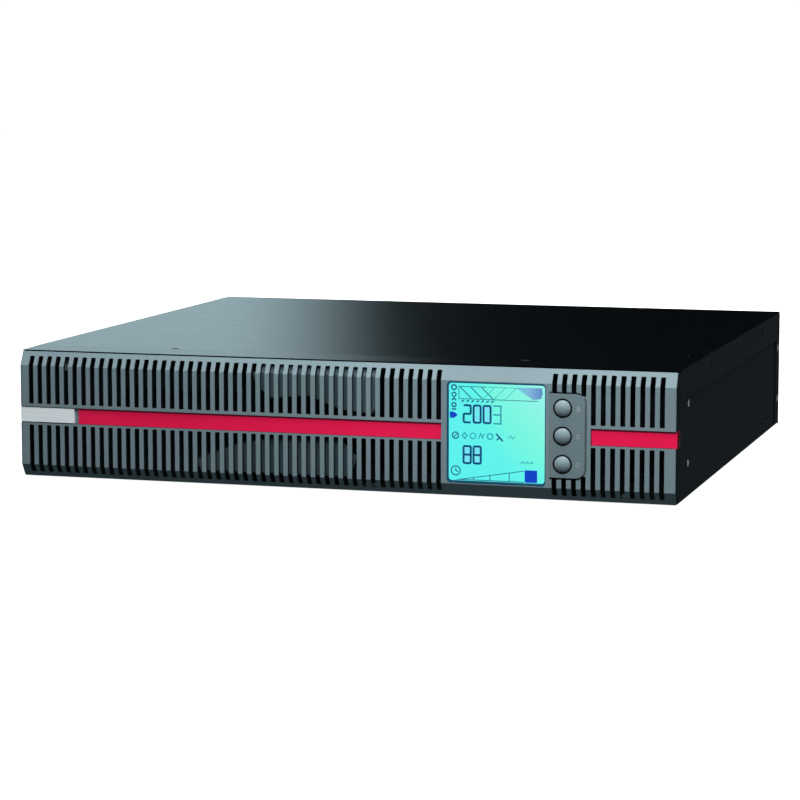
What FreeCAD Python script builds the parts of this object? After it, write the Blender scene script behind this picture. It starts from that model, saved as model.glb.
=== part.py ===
import FreeCAD, Part
import math
import os

# A 2U uninterruptible power supply: a slotted bezel with a display and three buttons, a folded steel
# case, a battery pack that pulls out of the left half, and the power electronics in the right half.
# Millimetres. X is to the right seen from the front, Y runs from the front to the rear, Z is up.
# Depths below are measured from the bezel's face; save() moves every piece so that the origin is at the
# middle of the whole footprint, on the surface that the case stands on.

V = FreeCAD.Vector

# ---- case ----
WIDTH = 438.0
HALF = WIDTH / 2
TOP = 84.4                    # flat top of the cover
CASE_DEPTH = 400.0            # bezel face to the rear panel's outer face
SHEET = 1.0                   # walls, flanges and the divider
FLOOR = 1.2
PANEL = 1.2                   # front frame and rear panel
COVER = 0.8
WALL_FRONT = 12.4             # front edge of the case, just behind the bezel's rim
WALL_TOP = 83.2               # clear of the cover's sloping strip
COVER_FLANGE_LOW = 64.0
REAR_FLANGE_FRONT = 387.0
STRIP_FRONT = 5.0             # the cover's front strip reaches over the bezel and slopes down a little
STRIP_REAR = 32.0
STRIP_DROP = 0.4
REAR_TOP_FLANGE = 385.0       # where the rear panel's flanges start
REAR_FOOT_FLANGE = 388.0
FLANGE_SCREW_HEAD = 2.6
SIDE_SCREW_HEAD = 2.2
WALL_OUT = HALF - SHEET       # outer face of the side walls, under the flanges
WALL_IN = WALL_OUT - SHEET
REAR_IN = CASE_DEPTH - PANEL  # inner face of the rear panel

# ---- bezel ----
BEZEL_DEPTH = 12.0
BEZEL_LOW, BEZEL_HIGH = 0.6, 83.1
FACE_LOW, FACE_HIGH = 8.7, 74.2
CHAMFER_BACK = 4.8
BEZEL_WALL = 2.4
BEZEL_ROUND = 1.6
SLOT_WIDTH = 3.15
SLOT_ROUND = 0.5
UPPER_SLOT = (49.0, 80.2)
LOWER_SLOT = (3.6, 35.1)
LEFT_SLOTS = (-211.0, 6.174, 46)   # first centre, pitch, count
RIGHT_SLOTS = (141.6, 6.195, 12)
SHORT_SLOTS = 4                    # the right group's first slots run in under the keypad plate
SHORT_UPPER_LOW = 66.8
SHORT_LOWER_HIGH = 16.6
STRIPE = (36.4, 47.0)
STRIPE_DEPTH = 2.0
STRIPE_THICK = 1.0
STRIPE_FIT = 0.15
NAME_PLATE = (-218.6, -181.0)
RED_LEFT = (-178.0, 68.3)
RED_RIGHT_START = 164.8
RED_SIDE_DEPTH = 10.0
STRIPE_END_LEFT = 68.5
TAB_TOP_X = (-180.0, -60.0, 58.0, 184.0)   # snap tabs behind the bezel, in slots of the front frame
TAB_LOW_X = (20.0, 184.0)
TAB_HALF = 4.0
TAB_SLOT_HALF = 5.0
TAB_FIT = 0.4
TAB_REAR = 20.0
TAB_TOP_Z = 78.6
TAB_LOW_Z = 5.2

# ---- display and keypad ----
WINDOW_X = (72.3, 136.0)
WINDOW_Z = (9.3, 73.6)
WINDOW_ROUND = 2.5
KEYPAD_X = (138.6, 161.1)
KEYPAD_Z = (15.4, 68.0)
KEYPAD_ROUND = 6.0
KEYPAD_PROUD = 0.3
KEYPAD_REAR = 1.4             # rear face of the keypad plate, and floor of its pocket
KEYPAD_FIT = 0.1              # beside the display
KEYPAD_GROOVE = 1.3           # above, below and to the right of the plate
BUTTON_X = 146.9
BUTTON_Z = (59.1, 41.6, 23.9)
BUTTON_RADIUS = 5.0
BUTTON_HOLE = 6.2
BUTTON_COLLAR = 6.7
BUTTON_RIM = 0.3              # how far the button's straight side stands out of the bezel's face
DOME = 1.8
FRONT_REACH = BUTTON_RIM + DOME
BOARD_FRONT, BOARD_REAR = 10.0, 11.6
WINDOW_DEPTH = (0.2, 2.2)
CELL_DEPTH = (2.6, 4.6)       # the liquid crystal cell, with its light guide behind it
CELL_Z = (9.8, 73.1)
GUIDE_REAR = 9.8
GUIDE_Z = (11.0, 72.0)
BOSS_RADIUS = 2.4
BOSS_X = (71.5, 137.5)
BOSS_Z = (7.6, 76.3)
BOARD_X = (67.5, 158.0)
BOARD_Z = (5.5, 78.5)
DISPLAY_SOCKET_X = (98.0, 126.0)
DISPLAY_SOCKET_Z = (14.0, 24.0)

# ---- front frame, battery bay and pack ----
FRAME_FRONT = 16.0
FRAME_REAR = FRAME_FRONT + PANEL
FRAME_TOP_FLANGE = 46.0       # rear edges of the frame's flanges
FRAME_SIDE_FLANGE = 48.0
FRAME_FOOT_FLANGE = 30.0
BAY_X = (-212.5, -7.5)
BAY_TOP = 70.5
DIVIDER_X = (-4.6, -3.6)
BAY_REAR = 352.0
DIVIDER_HIGH = 80.0
DIVIDER_FOOT = 4.0
TRAY_X = (-211.5, -8.5)
TRAY_LOW = 1.5
TRAY_FRONT = 14.6
TRAY_REAR = 328.0
TRAY_SIDE_HIGH = 40.0
TRAY_REAR_HIGH = 48.0
TRAY_FACE_X = (-215.5, -5.5)
TRAY_FACE_Z = (3.2, 77.8)
FINGER_HOLE_X = (-150.0, -70.0)
FINGER_HOLE_Z = (46.0, 68.0)
GRIP_X = (-152.0, -68.0)
GRIP_FRONT = 9.6
GRIP_THICK = 3.0
GRIP_LOW, GRIP_HIGH = 60.0, 71.0
BATTERY = (100.0, 151.0, 65.0)
BATTERY_FRONT = (22.0, 174.5)
TRAY_SCREW_X = (-190.0, -30.0)
TRAY_SCREW_Z = 75.0
FRAME_VENTS = ((16.0, 6), (172.0, 5))      # first centre and count of each group
FRAME_VENT_PITCH = 8.0
FRAME_VENT_WIDTH = 3.5
FRAME_VENT_LOW = (12.0, 38.0)
FRAME_VENT_HIGH = (44.0, 70.0)
PLUG_X = (-62.0, -34.0)
PLUG_Z = (22.0, 40.0)
PLUG_REAR = 346.0
SOCKET_MOUTH = 336.0
SOCKET_WALL = 2.8
PLUG_HOLE_X = (-65.0, -31.0)
PLUG_HOLE_Z = (19.0, 43.0)

# ---- fans ----
FAN_X = (90.0, 172.0)
FAN_Z = 42.0
FAN_SIZE = 80.0
FAN_DEPTH = 25.0
FAN_BORE = 38.0
FAN_SCREW = 35.75
FAN_SCREW_HOLE = 2.2
FAN_FRONT = REAR_IN - FAN_DEPTH
ROTOR_RADIUS = 36.6
BLADES = 7

# ---- rear connectors ----
OUTLET_X = -140.0
OUTLET_PITCH = 31.5
OUTLET_ROWS = (24.0, 58.0)
INLET = (-50.0, 24.0)
BREAKER = (-50.0, 60.0)
SERIAL = (2.0, 14.0)
USB = (34.0, 15.0)
EMERGENCY = (-24.0, 14.0)
JACKS = ((-22.0, 34.0), (-5.0, 34.0))
SLOT_COVER_X = (-30.0, 44.0)
SLOT_COVER_Z = (48.0, 77.0)
SLOT_OPENING_Z = (52.0, 73.0)
SLOT_SCREW_Z = 62.5
GROUND = (24.0, 36.0)
THUMB_HEAD = 7.5
THUMB_HOLE = 2.1
# Half the width and half the height of each opening in the rear panel.
OUTLET_OPENING_HALF = 12.0
INLET_OPENING = (14.0, 11.0)
BREAKER_HOLE = 6.2
SERIAL_OPENING = (9.5, 5.2)
USB_OPENING = (6.1, 5.6)
EMERGENCY_OPENING = (6.0, 5.0)
JACK_OPENING = (7.6, 6.6)
# Where each connector's body starts inside the case.
OUTLET_BODY = 374.0
INLET_BODY = 378.0
BREAKER_BODY = 368.0
SERIAL_BODY = 386.0
USB_BODY = 384.0
EMERGENCY_BODY = 386.0
JACK_BODY = 384.0
SOCKET_DEPTH = 17.0
BLADE_HALF = (1.0, 2.0)
REAR_REACH = THUMB_HEAD

# ---- screws ----
SCREW = 1.5
CLEAR = 1.6
SIDE_SCREW_Y = 43.0
SIDE_SCREW_Z = (21.7, 59.6)
FLANGE_SCREW_Y = (113.0, 320.0)
FLANGE_SCREW_Z = 77.0
TOP_SCREW_X = (-122.4, 114.6)
TOP_SCREW_Y = (33.5, 392.0)
REAR_SCREW_Y = 393.5
REAR_SCREW_Z = (20.0, 58.0)
RAIL_HOLE_Y = (352.0, 365.0)
RAIL_HOLE_Z = 9.3
RAIL_HOLE_RADIUS = 2.15

# ---- boards ----
MAIN_BOARD_X = (6.0, 208.0)
MAIN_BOARD_Y = (62.0, 366.0)
MAIN_BOARD_Z = (9.0, 10.6)
TRANSFORMER_X = (118.0, 174.0)
TRANSFORMER_Y = (76.0, 118.0)
TRANSFORMER_HIGH = 44.0
CORE_YOKE = 8.0
CORE_LIMB_X = (138.0, 154.0)
CAPACITOR_TOP = 62.0
HEATSINK_HIGH = 60.0
HEATSINK_FINS = 9
HEATSINK_Y = (200.0, 358.0)
HEATSINKS_X = (56.0, 140.0)
CONTROL_Y = 70.0

MID_DEPTH = (CASE_DEPTH + REAR_REACH - FRONT_REACH) / 2
SIDES = (-1, 1)


def around(centre, half):
    return (centre - half, centre + half)


def block(x, y, z):
    return Part.makeBox(x[1] - x[0], y[1] - y[0], z[1] - z[0], V(x[0], y[0], z[0]))


def rod(at, y, radius):
    """A cylinder along Y at (x, z)."""
    return Part.makeCylinder(radius, y[1] - y[0], V(at[0], y[0], at[1]), V(0, 1, 0))


def post(at, z, radius):
    """A cylinder along Z at (x, y)."""
    return Part.makeCylinder(radius, z[1] - z[0], V(at[0], at[1], z[0]), V(0, 0, 1))


def cone(start, direction, length, radius, end_radius):
    return Part.makeCone(radius, end_radius, length, start, direction)


def fuse(shapes):
    return shapes[0].multiFuse(shapes[1:]).removeSplitter()


def soften(shape, radius, along):
    """Rounds every straight edge that runs along a direction."""
    edges = []
    for edge in shape.Edges:
        if edge.Curve.TypeId != "Part::GeomLine":
            continue
        if abs(edge.Curve.Direction.dot(along)) > 0.999:
            edges.append(edge)
    return shape.makeFillet(radius, edges)


def rounded(x, y, z, radius):
    """A block whose four edges along Y are rounded."""
    return soften(block(x, y, z), radius, V(0, 1, 0))


def prism_x(points, x):
    """A polygon of (y, z) points, extruded from x[0] to x[1]."""
    wire = Part.makePolygon([V(x[0], y, z) for y, z in points + points[:1]])
    return Part.Face(wire).extrude(V(x[1] - x[0], 0, 0))


def prism_y(points, y):
    """A polygon of (x, z) points, extruded from y[0] to y[1]."""
    wire = Part.makePolygon([V(px, y[0], pz) for px, pz in points + points[:1]])
    return Part.Face(wire).extrude(V(0, y[1] - y[0], 0))


def tube(points, radius, bend):
    """A round wire along straight runs joined by tangent arcs."""
    edges = []
    start = points[0]
    for before, corner, after in zip(points, points[1:], points[2:]):
        arrive = (corner - before).normalize()
        leave = (after - corner).normalize()
        turn = math.acos(max(-1.0, min(1.0, arrive.dot(leave))))
        trim = bend * math.tan(turn / 2)
        first = corner - arrive * trim
        last = corner + leave * trim
        inward = (leave - arrive).normalize()
        centre = corner + inward * (bend / math.cos(turn / 2))
        middle = centre - inward * bend
        edges.append(Part.LineSegment(start, first).toShape())
        edges.append(Part.Arc(first, middle, last).toShape())
        start = last
    edges.append(Part.LineSegment(start, points[-1]).toShape())
    path = Part.Wire(edges)
    section = Part.Wire(Part.makeCircle(radius, points[0], points[1] - points[0]))
    return path.makePipeShell([section], True, False)


def screw_x(side, surface, y, z, head, length, wall=SHEET):
    """A countersunk screw in a side wall, with its shank pointing inwards."""
    inward = V(-side, 0, 0)
    start = V(side * surface, y, z)
    shank = Part.makeCylinder(SCREW, length, start, inward)
    return fuse([cone(start, inward, wall, head, SCREW), shank])


def sink_x(side, surface, y, z, head, length, wall=SHEET):
    """The hole for such a screw."""
    inward = V(-side, 0, 0)
    start = V(side * surface, y, z)
    hole = Part.makeCylinder(CLEAR, length, start, inward)
    return fuse([cone(start, inward, wall, head + 0.1, CLEAR), hole])


def thumbscrew(at, face, head, shank):
    """A knurled head standing out of a face that looks along direction head, with its shank behind."""
    direction = 1 if head > 0 else -1
    start = V(at[0], face, at[1])
    knob = Part.makeCylinder(4.5, abs(head), start, V(0, direction, 0))
    flutes = []
    for step in range(16):
        angle = 2 * math.pi * step / 16
        centre = V(at[0] + 4.9 * math.cos(angle), face, at[1] + 4.9 * math.sin(angle))
        flutes.append(Part.makeCylinder(0.7, abs(head), centre, V(0, direction, 0)))
    stem = Part.makeCylinder(1.9, shank, start, V(0, -direction, 0))
    return fuse([knob.cut(flutes), stem])


def save(name, *shapes):
    shape = shapes[0] if len(shapes) == 1 else Part.makeCompound(list(shapes))
    shape = shape.copy()
    shape.translate(V(0, -MID_DEPTH, 0))
    if not shape.isValid():
        print("not valid:", name)
    shape.exportStep("parts/" + name + ".step")
    print(f"{name:28s} {len(shape.Solids):4d} solids {shape.Volume / 1000:9.2f} cm3")


# ---------------------------------------------------------------- case


def chassis_base():
    floor_and_walls = block((-WALL_OUT, WALL_OUT), (WALL_FRONT, REAR_IN), (0, WALL_TOP))
    floor_and_walls = soften(floor_and_walls, 0.8, V(0, 1, 0))
    inside = block((-WALL_IN, WALL_IN), (0, CASE_DEPTH), (FLOOR, TOP))
    trough = floor_and_walls.cut(inside)
    tools = []
    for side in SIDES:
        for z in SIDE_SCREW_Z:
            tools.append(sink_x(side, WALL_OUT, SIDE_SCREW_Y, z, SIDE_SCREW_HEAD, 3))
        for y in FLANGE_SCREW_Y:
            tools.append(Part.makeCylinder(CLEAR, 4, V(side * HALF, y, FLANGE_SCREW_Z), V(-side, 0, 0)))
        for z in REAR_SCREW_Z:
            tools.append(Part.makeCylinder(CLEAR, 4, V(side * HALF, REAR_SCREW_Y, z), V(-side, 0, 0)))
        for y in RAIL_HOLE_Y:
            start = V(side * HALF, y, RAIL_HOLE_Z)
            tools.append(Part.makeCylinder(RAIL_HOLE_RADIUS, 4, start, V(-side, 0, 0)))
    return trough.cut(tools)


def top_cover():
    under = TOP - COVER
    strip_top = TOP - STRIP_DROP
    sheet = prism_x(
        [
            (STRIP_FRONT, strip_top - COVER),
            (STRIP_FRONT, strip_top),
            (STRIP_REAR, TOP),
            (CASE_DEPTH, TOP),
            (CASE_DEPTH, under),
            (STRIP_REAR, under),
        ],
        (-HALF, HALF),
    )
    folds = []
    for edge in sheet.Edges:
        box = edge.BoundBox
        if box.XLength < 0.01 and box.YLength > 1 and box.ZMin > strip_top - 0.01:
            folds.append(edge)
    pieces = [sheet.makeFillet(0.6, folds)]
    for side in SIDES:
        x = sorted((side * HALF, side * WALL_OUT))
        # The flange meets the sloping strip from below, so its top follows the strip.
        flange = prism_x(
            [
                (WALL_FRONT, COVER_FLANGE_LOW),
                (WALL_FRONT, strip_top - 0.5),
                (STRIP_REAR, TOP - 0.7),
                (REAR_FLANGE_FRONT - 0.4, TOP - 0.7),
                (REAR_FLANGE_FRONT - 0.4, COVER_FLANGE_LOW),
            ],
            x,
        )
        pieces.append(flange)
    cover = fuse(pieces)
    tools = []
    for side in SIDES:
        for y in FLANGE_SCREW_Y:
            tools.append(sink_x(side, HALF, y, FLANGE_SCREW_Z, FLANGE_SCREW_HEAD, 3))
    for x in TOP_SCREW_X:
        for y in TOP_SCREW_Y:
            tools.append(cone(V(x, y, TOP), V(0, 0, -1), COVER, FLANGE_SCREW_HEAD, CLEAR))
    return cover.cut(tools)


def cover_screws():
    screws = []
    for side in SIDES:
        for y in FLANGE_SCREW_Y:
            screws.append(screw_x(side, HALF, y, FLANGE_SCREW_Z, FLANGE_SCREW_HEAD, 5))
    down = V(0, 0, -1)
    for x in TOP_SCREW_X:
        for y in TOP_SCREW_Y:
            start = V(x, y, TOP)
            shank = Part.makeCylinder(SCREW, 5, start, down)
            screws.append(fuse([cone(start, down, COVER, 2.5, SCREW), shank]))
    return screws


def side_screws():
    screws = []
    for side in SIDES:
        for z in SIDE_SCREW_Z:
            screws.append(screw_x(side, WALL_OUT, SIDE_SCREW_Y, z, SIDE_SCREW_HEAD, 5))
        for z in REAR_SCREW_Z:
            screws.append(screw_x(side, HALF, REAR_SCREW_Y, z, FLANGE_SCREW_HEAD, 5))
    return screws


def front_frame():
    plate = block((-WALL_IN, WALL_IN), (FRAME_FRONT, FRAME_REAR), (FLOOR, WALL_TOP))
    top_flange = block((-WALL_IN, WALL_IN), (FRAME_FRONT, FRAME_TOP_FLANGE), (WALL_TOP - SHEET, WALL_TOP))
    pieces = [plate, top_flange]
    for side in SIDES:
        x = sorted((side * WALL_IN, side * (WALL_IN - SHEET)))
        pieces.append(block(x, (FRAME_FRONT, FRAME_SIDE_FLANGE), (FLOOR + 2, WALL_TOP)))
    pieces.append(block((0, WALL_IN), (FRAME_FRONT, FRAME_FOOT_FLANGE), (FLOOR, FLOOR + SHEET)))
    frame = fuse(pieces)
    tools = [block(BAY_X, (0, 50), (0, BAY_TOP))]
    for x in TAB_TOP_X:
        tools.append(block(around(x, TAB_SLOT_HALF), (0, 20), (TAB_TOP_Z - TAB_FIT, WALL_TOP - SHEET)))
    for x in TAB_LOW_X:
        tools.append(block(around(x, TAB_SLOT_HALF), (0, 20), (FLOOR + SHEET, TAB_LOW_Z + TAB_FIT)))
    for x in TRAY_SCREW_X:
        tools.append(rod((x, TRAY_SCREW_Z), (0, 30), 2.2))
    for first, count in FRAME_VENTS:
        for step in range(count):
            x = around(first + FRAME_VENT_PITCH * step, FRAME_VENT_WIDTH / 2)
            for z in (FRAME_VENT_LOW, FRAME_VENT_HIGH):
                tools.append(rounded(x, (0, 30), z, 1.5))
    tools.append(block((DISPLAY_SOCKET_X[0] + 2, DISPLAY_SOCKET_X[1] - 2), (0, 30), DISPLAY_SOCKET_Z))
    for side in SIDES:
        for z in SIDE_SCREW_Z:
            tools.append(Part.makeCylinder(CLEAR, 8, V(side * HALF, SIDE_SCREW_Y, z), V(-side, 0, 0)))
    for x in TOP_SCREW_X:
        tools.append(post((x, TOP_SCREW_Y[0]), (70, TOP), CLEAR))
    return frame.cut(tools)


def rear_panel():
    plate = block((-HALF, HALF), (REAR_IN, CASE_DEPTH), (0.3, WALL_TOP))
    top_flange = block((-WALL_IN, WALL_IN), (REAR_TOP_FLANGE, CASE_DEPTH), (TOP - COVER - SHEET, TOP - COVER))
    fans_start = FAN_X[0] - FAN_SIZE / 2 - 2
    foot_y = (REAR_FOOT_FLANGE, CASE_DEPTH)
    bottom_flange = block((-WALL_IN, fans_start), foot_y, (FLOOR, FLOOR + SHEET))
    pieces = [plate, top_flange, bottom_flange]
    for side in SIDES:
        x = sorted((side * HALF, side * WALL_OUT))
        pieces.append(block(x, (REAR_FLANGE_FRONT, CASE_DEPTH), (1.4, WALL_TOP)))
    panel = fuse(pieces)
    tools = []
    through = (REAR_IN - 1, CASE_DEPTH + 1)
    for x in FAN_X:
        tools.append(rod((x, FAN_Z), through, FAN_BORE))
        for at in fan_corners(x):
            tools.append(rod(at, (350, CASE_DEPTH + 1), FAN_SCREW_HOLE))
    for z in OUTLET_ROWS:
        tools.append(block(outlet_span(0), through, around(z, OUTLET_OPENING_HALF)))
    tools.append(opening(INLET, INLET_OPENING, through))
    tools.append(rod(BREAKER, through, BREAKER_HOLE))
    tools.append(opening(SERIAL, SERIAL_OPENING, through))
    tools.append(opening(USB, USB_OPENING, through))
    tools.append(opening(EMERGENCY, EMERGENCY_OPENING, through))
    for jack in JACKS:
        tools.append(opening(jack, JACK_OPENING, through))
    tools.append(block((SLOT_COVER_X[0] + 8, SLOT_COVER_X[1] - 8), through, SLOT_OPENING_Z))
    for x in slot_cover_screws():
        tools.append(rod((x, SLOT_SCREW_Z), through, THUMB_HOLE))
    tools.append(rod(GROUND, through, THUMB_HOLE))
    for side in SIDES:
        for z in REAR_SCREW_Z:
            tools.append(sink_x(side, HALF, REAR_SCREW_Y, z, FLANGE_SCREW_HEAD, 3))
    for x in TOP_SCREW_X:
        tools.append(post((x, TOP_SCREW_Y[1]), (70, TOP), CLEAR))
    return panel.cut(tools)


def opening(at, half, y):
    """A rectangular hole along Y round (x, z)."""
    return block(around(at[0], half[0]), y, around(at[1], half[1]))


def battery_bay_divider():
    side = block(DIVIDER_X, (FRAME_REAR, BAY_REAR + SHEET), (FLOOR, DIVIDER_HIGH))
    rear = block((-WALL_IN, DIVIDER_X[1]), (BAY_REAR, BAY_REAR + SHEET), (FLOOR, DIVIDER_HIGH))
    foot = block((DIVIDER_X[0], DIVIDER_FOOT), (FRAME_REAR + 14, BAY_REAR), (FLOOR, FLOOR + SHEET))
    wall = fuse([side, rear, foot])
    return wall.cut([block(PLUG_HOLE_X, (340, 360), PLUG_HOLE_Z)])


# ---------------------------------------------------------------- bezel


def slots():
    """The cutters of both rows of ventilation slots."""
    upper = rounded((-SLOT_WIDTH / 2, SLOT_WIDTH / 2), (-1, BEZEL_DEPTH - 3), UPPER_SLOT, SLOT_ROUND)
    lower = rounded((-SLOT_WIDTH / 2, SLOT_WIDTH / 2), (-1, BEZEL_DEPTH - 3), LOWER_SLOT, SLOT_ROUND)
    short_upper = upper.common(block((-5, 5), (-2, 20), (SHORT_UPPER_LOW, TOP)))
    short_lower = lower.common(block((-5, 5), (-2, 20), (0, SHORT_LOWER_HIGH)))
    cutters = []
    for first, pitch, count in (LEFT_SLOTS, RIGHT_SLOTS):
        for step in range(count):
            short = first == RIGHT_SLOTS[0] and step < SHORT_SLOTS
            for kind in (short_upper, short_lower) if short else (upper, lower):
                cutter = kind.copy()
                cutter.translate(V(first + pitch * step, 0, 0))
                cutters.append(cutter)
    return cutters


def bezel_blank():
    outline = [
        (BEZEL_DEPTH, BEZEL_LOW),
        (CHAMFER_BACK, BEZEL_LOW),
        (0, FACE_LOW),
        (0, FACE_HIGH),
        (CHAMFER_BACK, BEZEL_HIGH),
        (BEZEL_DEPTH, BEZEL_HIGH),
    ]
    solid = prism_x(outline, (-HALF, HALF))
    ends = []
    for edge in solid.Edges:
        box = edge.BoundBox
        at_end = box.XLength < 0.01 and abs(abs(box.XMin) - HALF) < 0.01
        at_rear = box.YMin > BEZEL_DEPTH - 0.01
        if at_end and not at_rear:
            ends.append(edge)
    return solid.makeFillet(BEZEL_ROUND, ends)


def bezel_hollow():
    """The space inside the bezel: its outline moved in by the wall, and open at the rear."""
    wire = Part.makePolygon(
        [
            V(0, BEZEL_DEPTH + 4, BEZEL_LOW),
            V(0, CHAMFER_BACK, BEZEL_LOW),
            V(0, 0, FACE_LOW),
            V(0, 0, FACE_HIGH),
            V(0, CHAMFER_BACK, BEZEL_HIGH),
            V(0, BEZEL_DEPTH + 4, BEZEL_HIGH),
            V(0, BEZEL_DEPTH + 4, BEZEL_LOW),
        ]
    )
    inner = wire.makeOffset2D(-BEZEL_WALL, 2)
    hollow = Part.Face(inner).extrude(V(WIDTH - 2 * BEZEL_WALL, 0, 0))
    hollow.translate(V(-HALF + BEZEL_WALL, 0, 0))
    return hollow


def bezel_shell():
    shell = bezel_blank().cut(bezel_hollow())
    extras = []
    for x in ((-HALF + 1, STRIPE_END_LEFT + 1), (RED_RIGHT_START - 1, HALF - 1)):
        extras.append(block(x, (BEZEL_WALL - 0.5, 4.5), (STRIPE[0] - 1.4, STRIPE[1] + 1.4)))
    for x in TAB_TOP_X:
        extras.append(block(around(x, TAB_HALF), (6, TAB_REAR), (TAB_TOP_Z, BEZEL_HIGH - 2)))
    for x in TAB_LOW_X:
        extras.append(block(around(x, TAB_HALF), (6, TAB_REAR), (BEZEL_LOW + 2, TAB_LOW_Z)))
    for x in BOSS_X:
        for z in BOSS_Z:
            extras.append(rod((x, z), (3.2, BOARD_FRONT), BOSS_RADIUS))
    shell = fuse([shell] + extras)
    tools = slots()
    tools.append(block((-HALF - 1, STRIPE_END_LEFT), (-1, STRIPE_DEPTH), STRIPE))
    tools.append(block((RED_RIGHT_START, HALF + 1), (-1, STRIPE_DEPTH), STRIPE))
    tools.append(block((HALF - STRIPE_THICK, HALF + 1), (-1, RED_SIDE_DEPTH), STRIPE))
    fit = 0.1
    tools.append(
        rounded(
            (WINDOW_X[0] - fit, WINDOW_X[1] + fit),
            (-1, 5),
            (WINDOW_Z[0] - fit, WINDOW_Z[1] + fit),
            WINDOW_ROUND + fit,
        )
    )
    tools.append(keypad_outline(KEYPAD_GROOVE, KEYPAD_FIT, (-1, KEYPAD_REAR)))
    for z in BUTTON_Z:
        tools.append(rod((BUTTON_X, z), (-1, 5), BUTTON_HOLE))
    for x in BOSS_X:
        for z in BOSS_Z:
            tools.append(rod((x, z), (6.0, BOARD_FRONT + 1), 1.1))
    return shell.cut(tools)


def keypad_outline(grow, grow_left, y):
    """The keypad plate's outline: square beside the display, round at the right."""
    x = (KEYPAD_X[0] - grow_left, KEYPAD_X[1] + grow)
    z = (KEYPAD_Z[0] - grow, KEYPAD_Z[1] + grow)
    plate = block(x, y, z)
    corners = []
    for edge in plate.Edges:
        box = edge.BoundBox
        if box.YLength > 0.1 and box.XMin > x[1] - 0.01:
            corners.append(edge)
    return plate.makeFillet(KEYPAD_ROUND + grow, corners)


def keypad_plate():
    plate = keypad_outline(0, 0, (-KEYPAD_PROUD, KEYPAD_REAR))
    for z in BUTTON_Z:
        plate = plate.cut(rod((BUTTON_X, z), (-2, 3), BUTTON_HOLE))
    return plate


def name_plate():
    z = (STRIPE[0] + 0.6, STRIPE[1] - 0.6)
    return rounded(NAME_PLATE, (0.2, STRIPE_DEPTH), z, 0.3)


def red_stripe_left():
    z = (STRIPE[0] + STRIPE_FIT, STRIPE[1] - STRIPE_FIT)
    return block(RED_LEFT, (STRIPE_DEPTH - STRIPE_THICK, STRIPE_DEPTH), z)


def red_stripe_right():
    """The right stripe turns the corner and runs back along the bezel's side."""
    z = (STRIPE[0] + STRIPE_FIT, STRIPE[1] - STRIPE_FIT)
    face = block((RED_RIGHT_START + 0.2, HALF), (STRIPE_DEPTH - STRIPE_THICK, STRIPE_DEPTH), z)
    side = block((HALF - STRIPE_THICK, HALF), (STRIPE_DEPTH - STRIPE_THICK, RED_SIDE_DEPTH - 0.2), z)
    return fuse([face, side])


def display_window():
    return rounded(WINDOW_X, WINDOW_DEPTH, WINDOW_Z, WINDOW_ROUND)


def display_panel():
    """The liquid crystal cell on its light guide."""
    cell = rounded((WINDOW_X[0] + 0.4, WINDOW_X[1] - 0.4), CELL_DEPTH, CELL_Z, 1.0)
    guide = block((WINDOW_X[0] - 0.2, WINDOW_X[1] + 0.2), (CELL_DEPTH[1], GUIDE_REAR), GUIDE_Z)
    return fuse([cell, guide])


def display_board():
    board = block(BOARD_X, (BOARD_FRONT, BOARD_REAR), BOARD_Z)
    plug_z = (DISPLAY_SOCKET_Z[0] + 2, DISPLAY_SOCKET_Z[1] - 2)
    plug = block((DISPLAY_SOCKET_X[0] + 4, DISPLAY_SOCKET_X[1] - 4), (BOARD_REAR, 17), plug_z)
    chip = block((80, 94), (BOARD_REAR, 13), (40, 54))
    buzzer = rod((146, 62), (BOARD_REAR, 15), 5)
    board = fuse([board, plug, chip, buzzer])
    return board.cut([rod((x, z), (0, 20), 1.3) for x in BOSS_X for z in BOSS_Z])


def display_board_screws():
    screws = []
    for x in BOSS_X:
        for z in BOSS_Z:
            head = rod((x, z), (BOARD_REAR, BOARD_REAR + 1.6), BOSS_RADIUS)
            screws.append(fuse([head, rod((x, z), (6.5, BOARD_REAR + 1), 1.0)]))
    return screws


def tact_switches():
    switches = []
    for z in BUTTON_Z:
        body = block(around(BUTTON_X, 3), (6.7, BOARD_FRONT), around(z, 3))
        switches.append(fuse([body, rod((BUTTON_X, z), (5.9, 7), 1.7)]))
    return switches


def push_button(z):
    """A domed cap with a collar behind the bezel and a stem that reaches for its switch."""
    sphere_radius = (BUTTON_RADIUS**2 + DOME**2) / (2 * DOME)
    ball = Part.makeSphere(sphere_radius, V(BUTTON_X, sphere_radius - FRONT_REACH, z))
    cap = rod((BUTTON_X, z), (-FRONT_REACH, 3.0), BUTTON_RADIUS).common(ball)
    collar = rod((BUTTON_X, z), (2.7, 3.7), BUTTON_COLLAR)
    stem = rod((BUTTON_X, z), (3.5, 4.6), 2.0)
    return fuse([cap, collar, stem])


def display_socket():
    shell_z = (DISPLAY_SOCKET_Z[0] - 1, DISPLAY_SOCKET_Z[1] + 1)
    shell = block(DISPLAY_SOCKET_X, (13.0, FRAME_FRONT), shell_z)
    body_x = (DISPLAY_SOCKET_X[0] + 2.2, DISPLAY_SOCKET_X[1] - 2.2)
    body_z = (DISPLAY_SOCKET_Z[0] + 0.2, DISPLAY_SOCKET_Z[1] - 0.2)
    shell = fuse([shell, block(body_x, (15, 24), body_z)])
    mouth_x = (DISPLAY_SOCKET_X[0] + 3.7, DISPLAY_SOCKET_X[1] - 3.7)
    mouth_z = (DISPLAY_SOCKET_Z[0] + 1.7, DISPLAY_SOCKET_Z[1] - 1.7)
    return shell.cut([block(mouth_x, (12, 20), mouth_z)])


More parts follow.
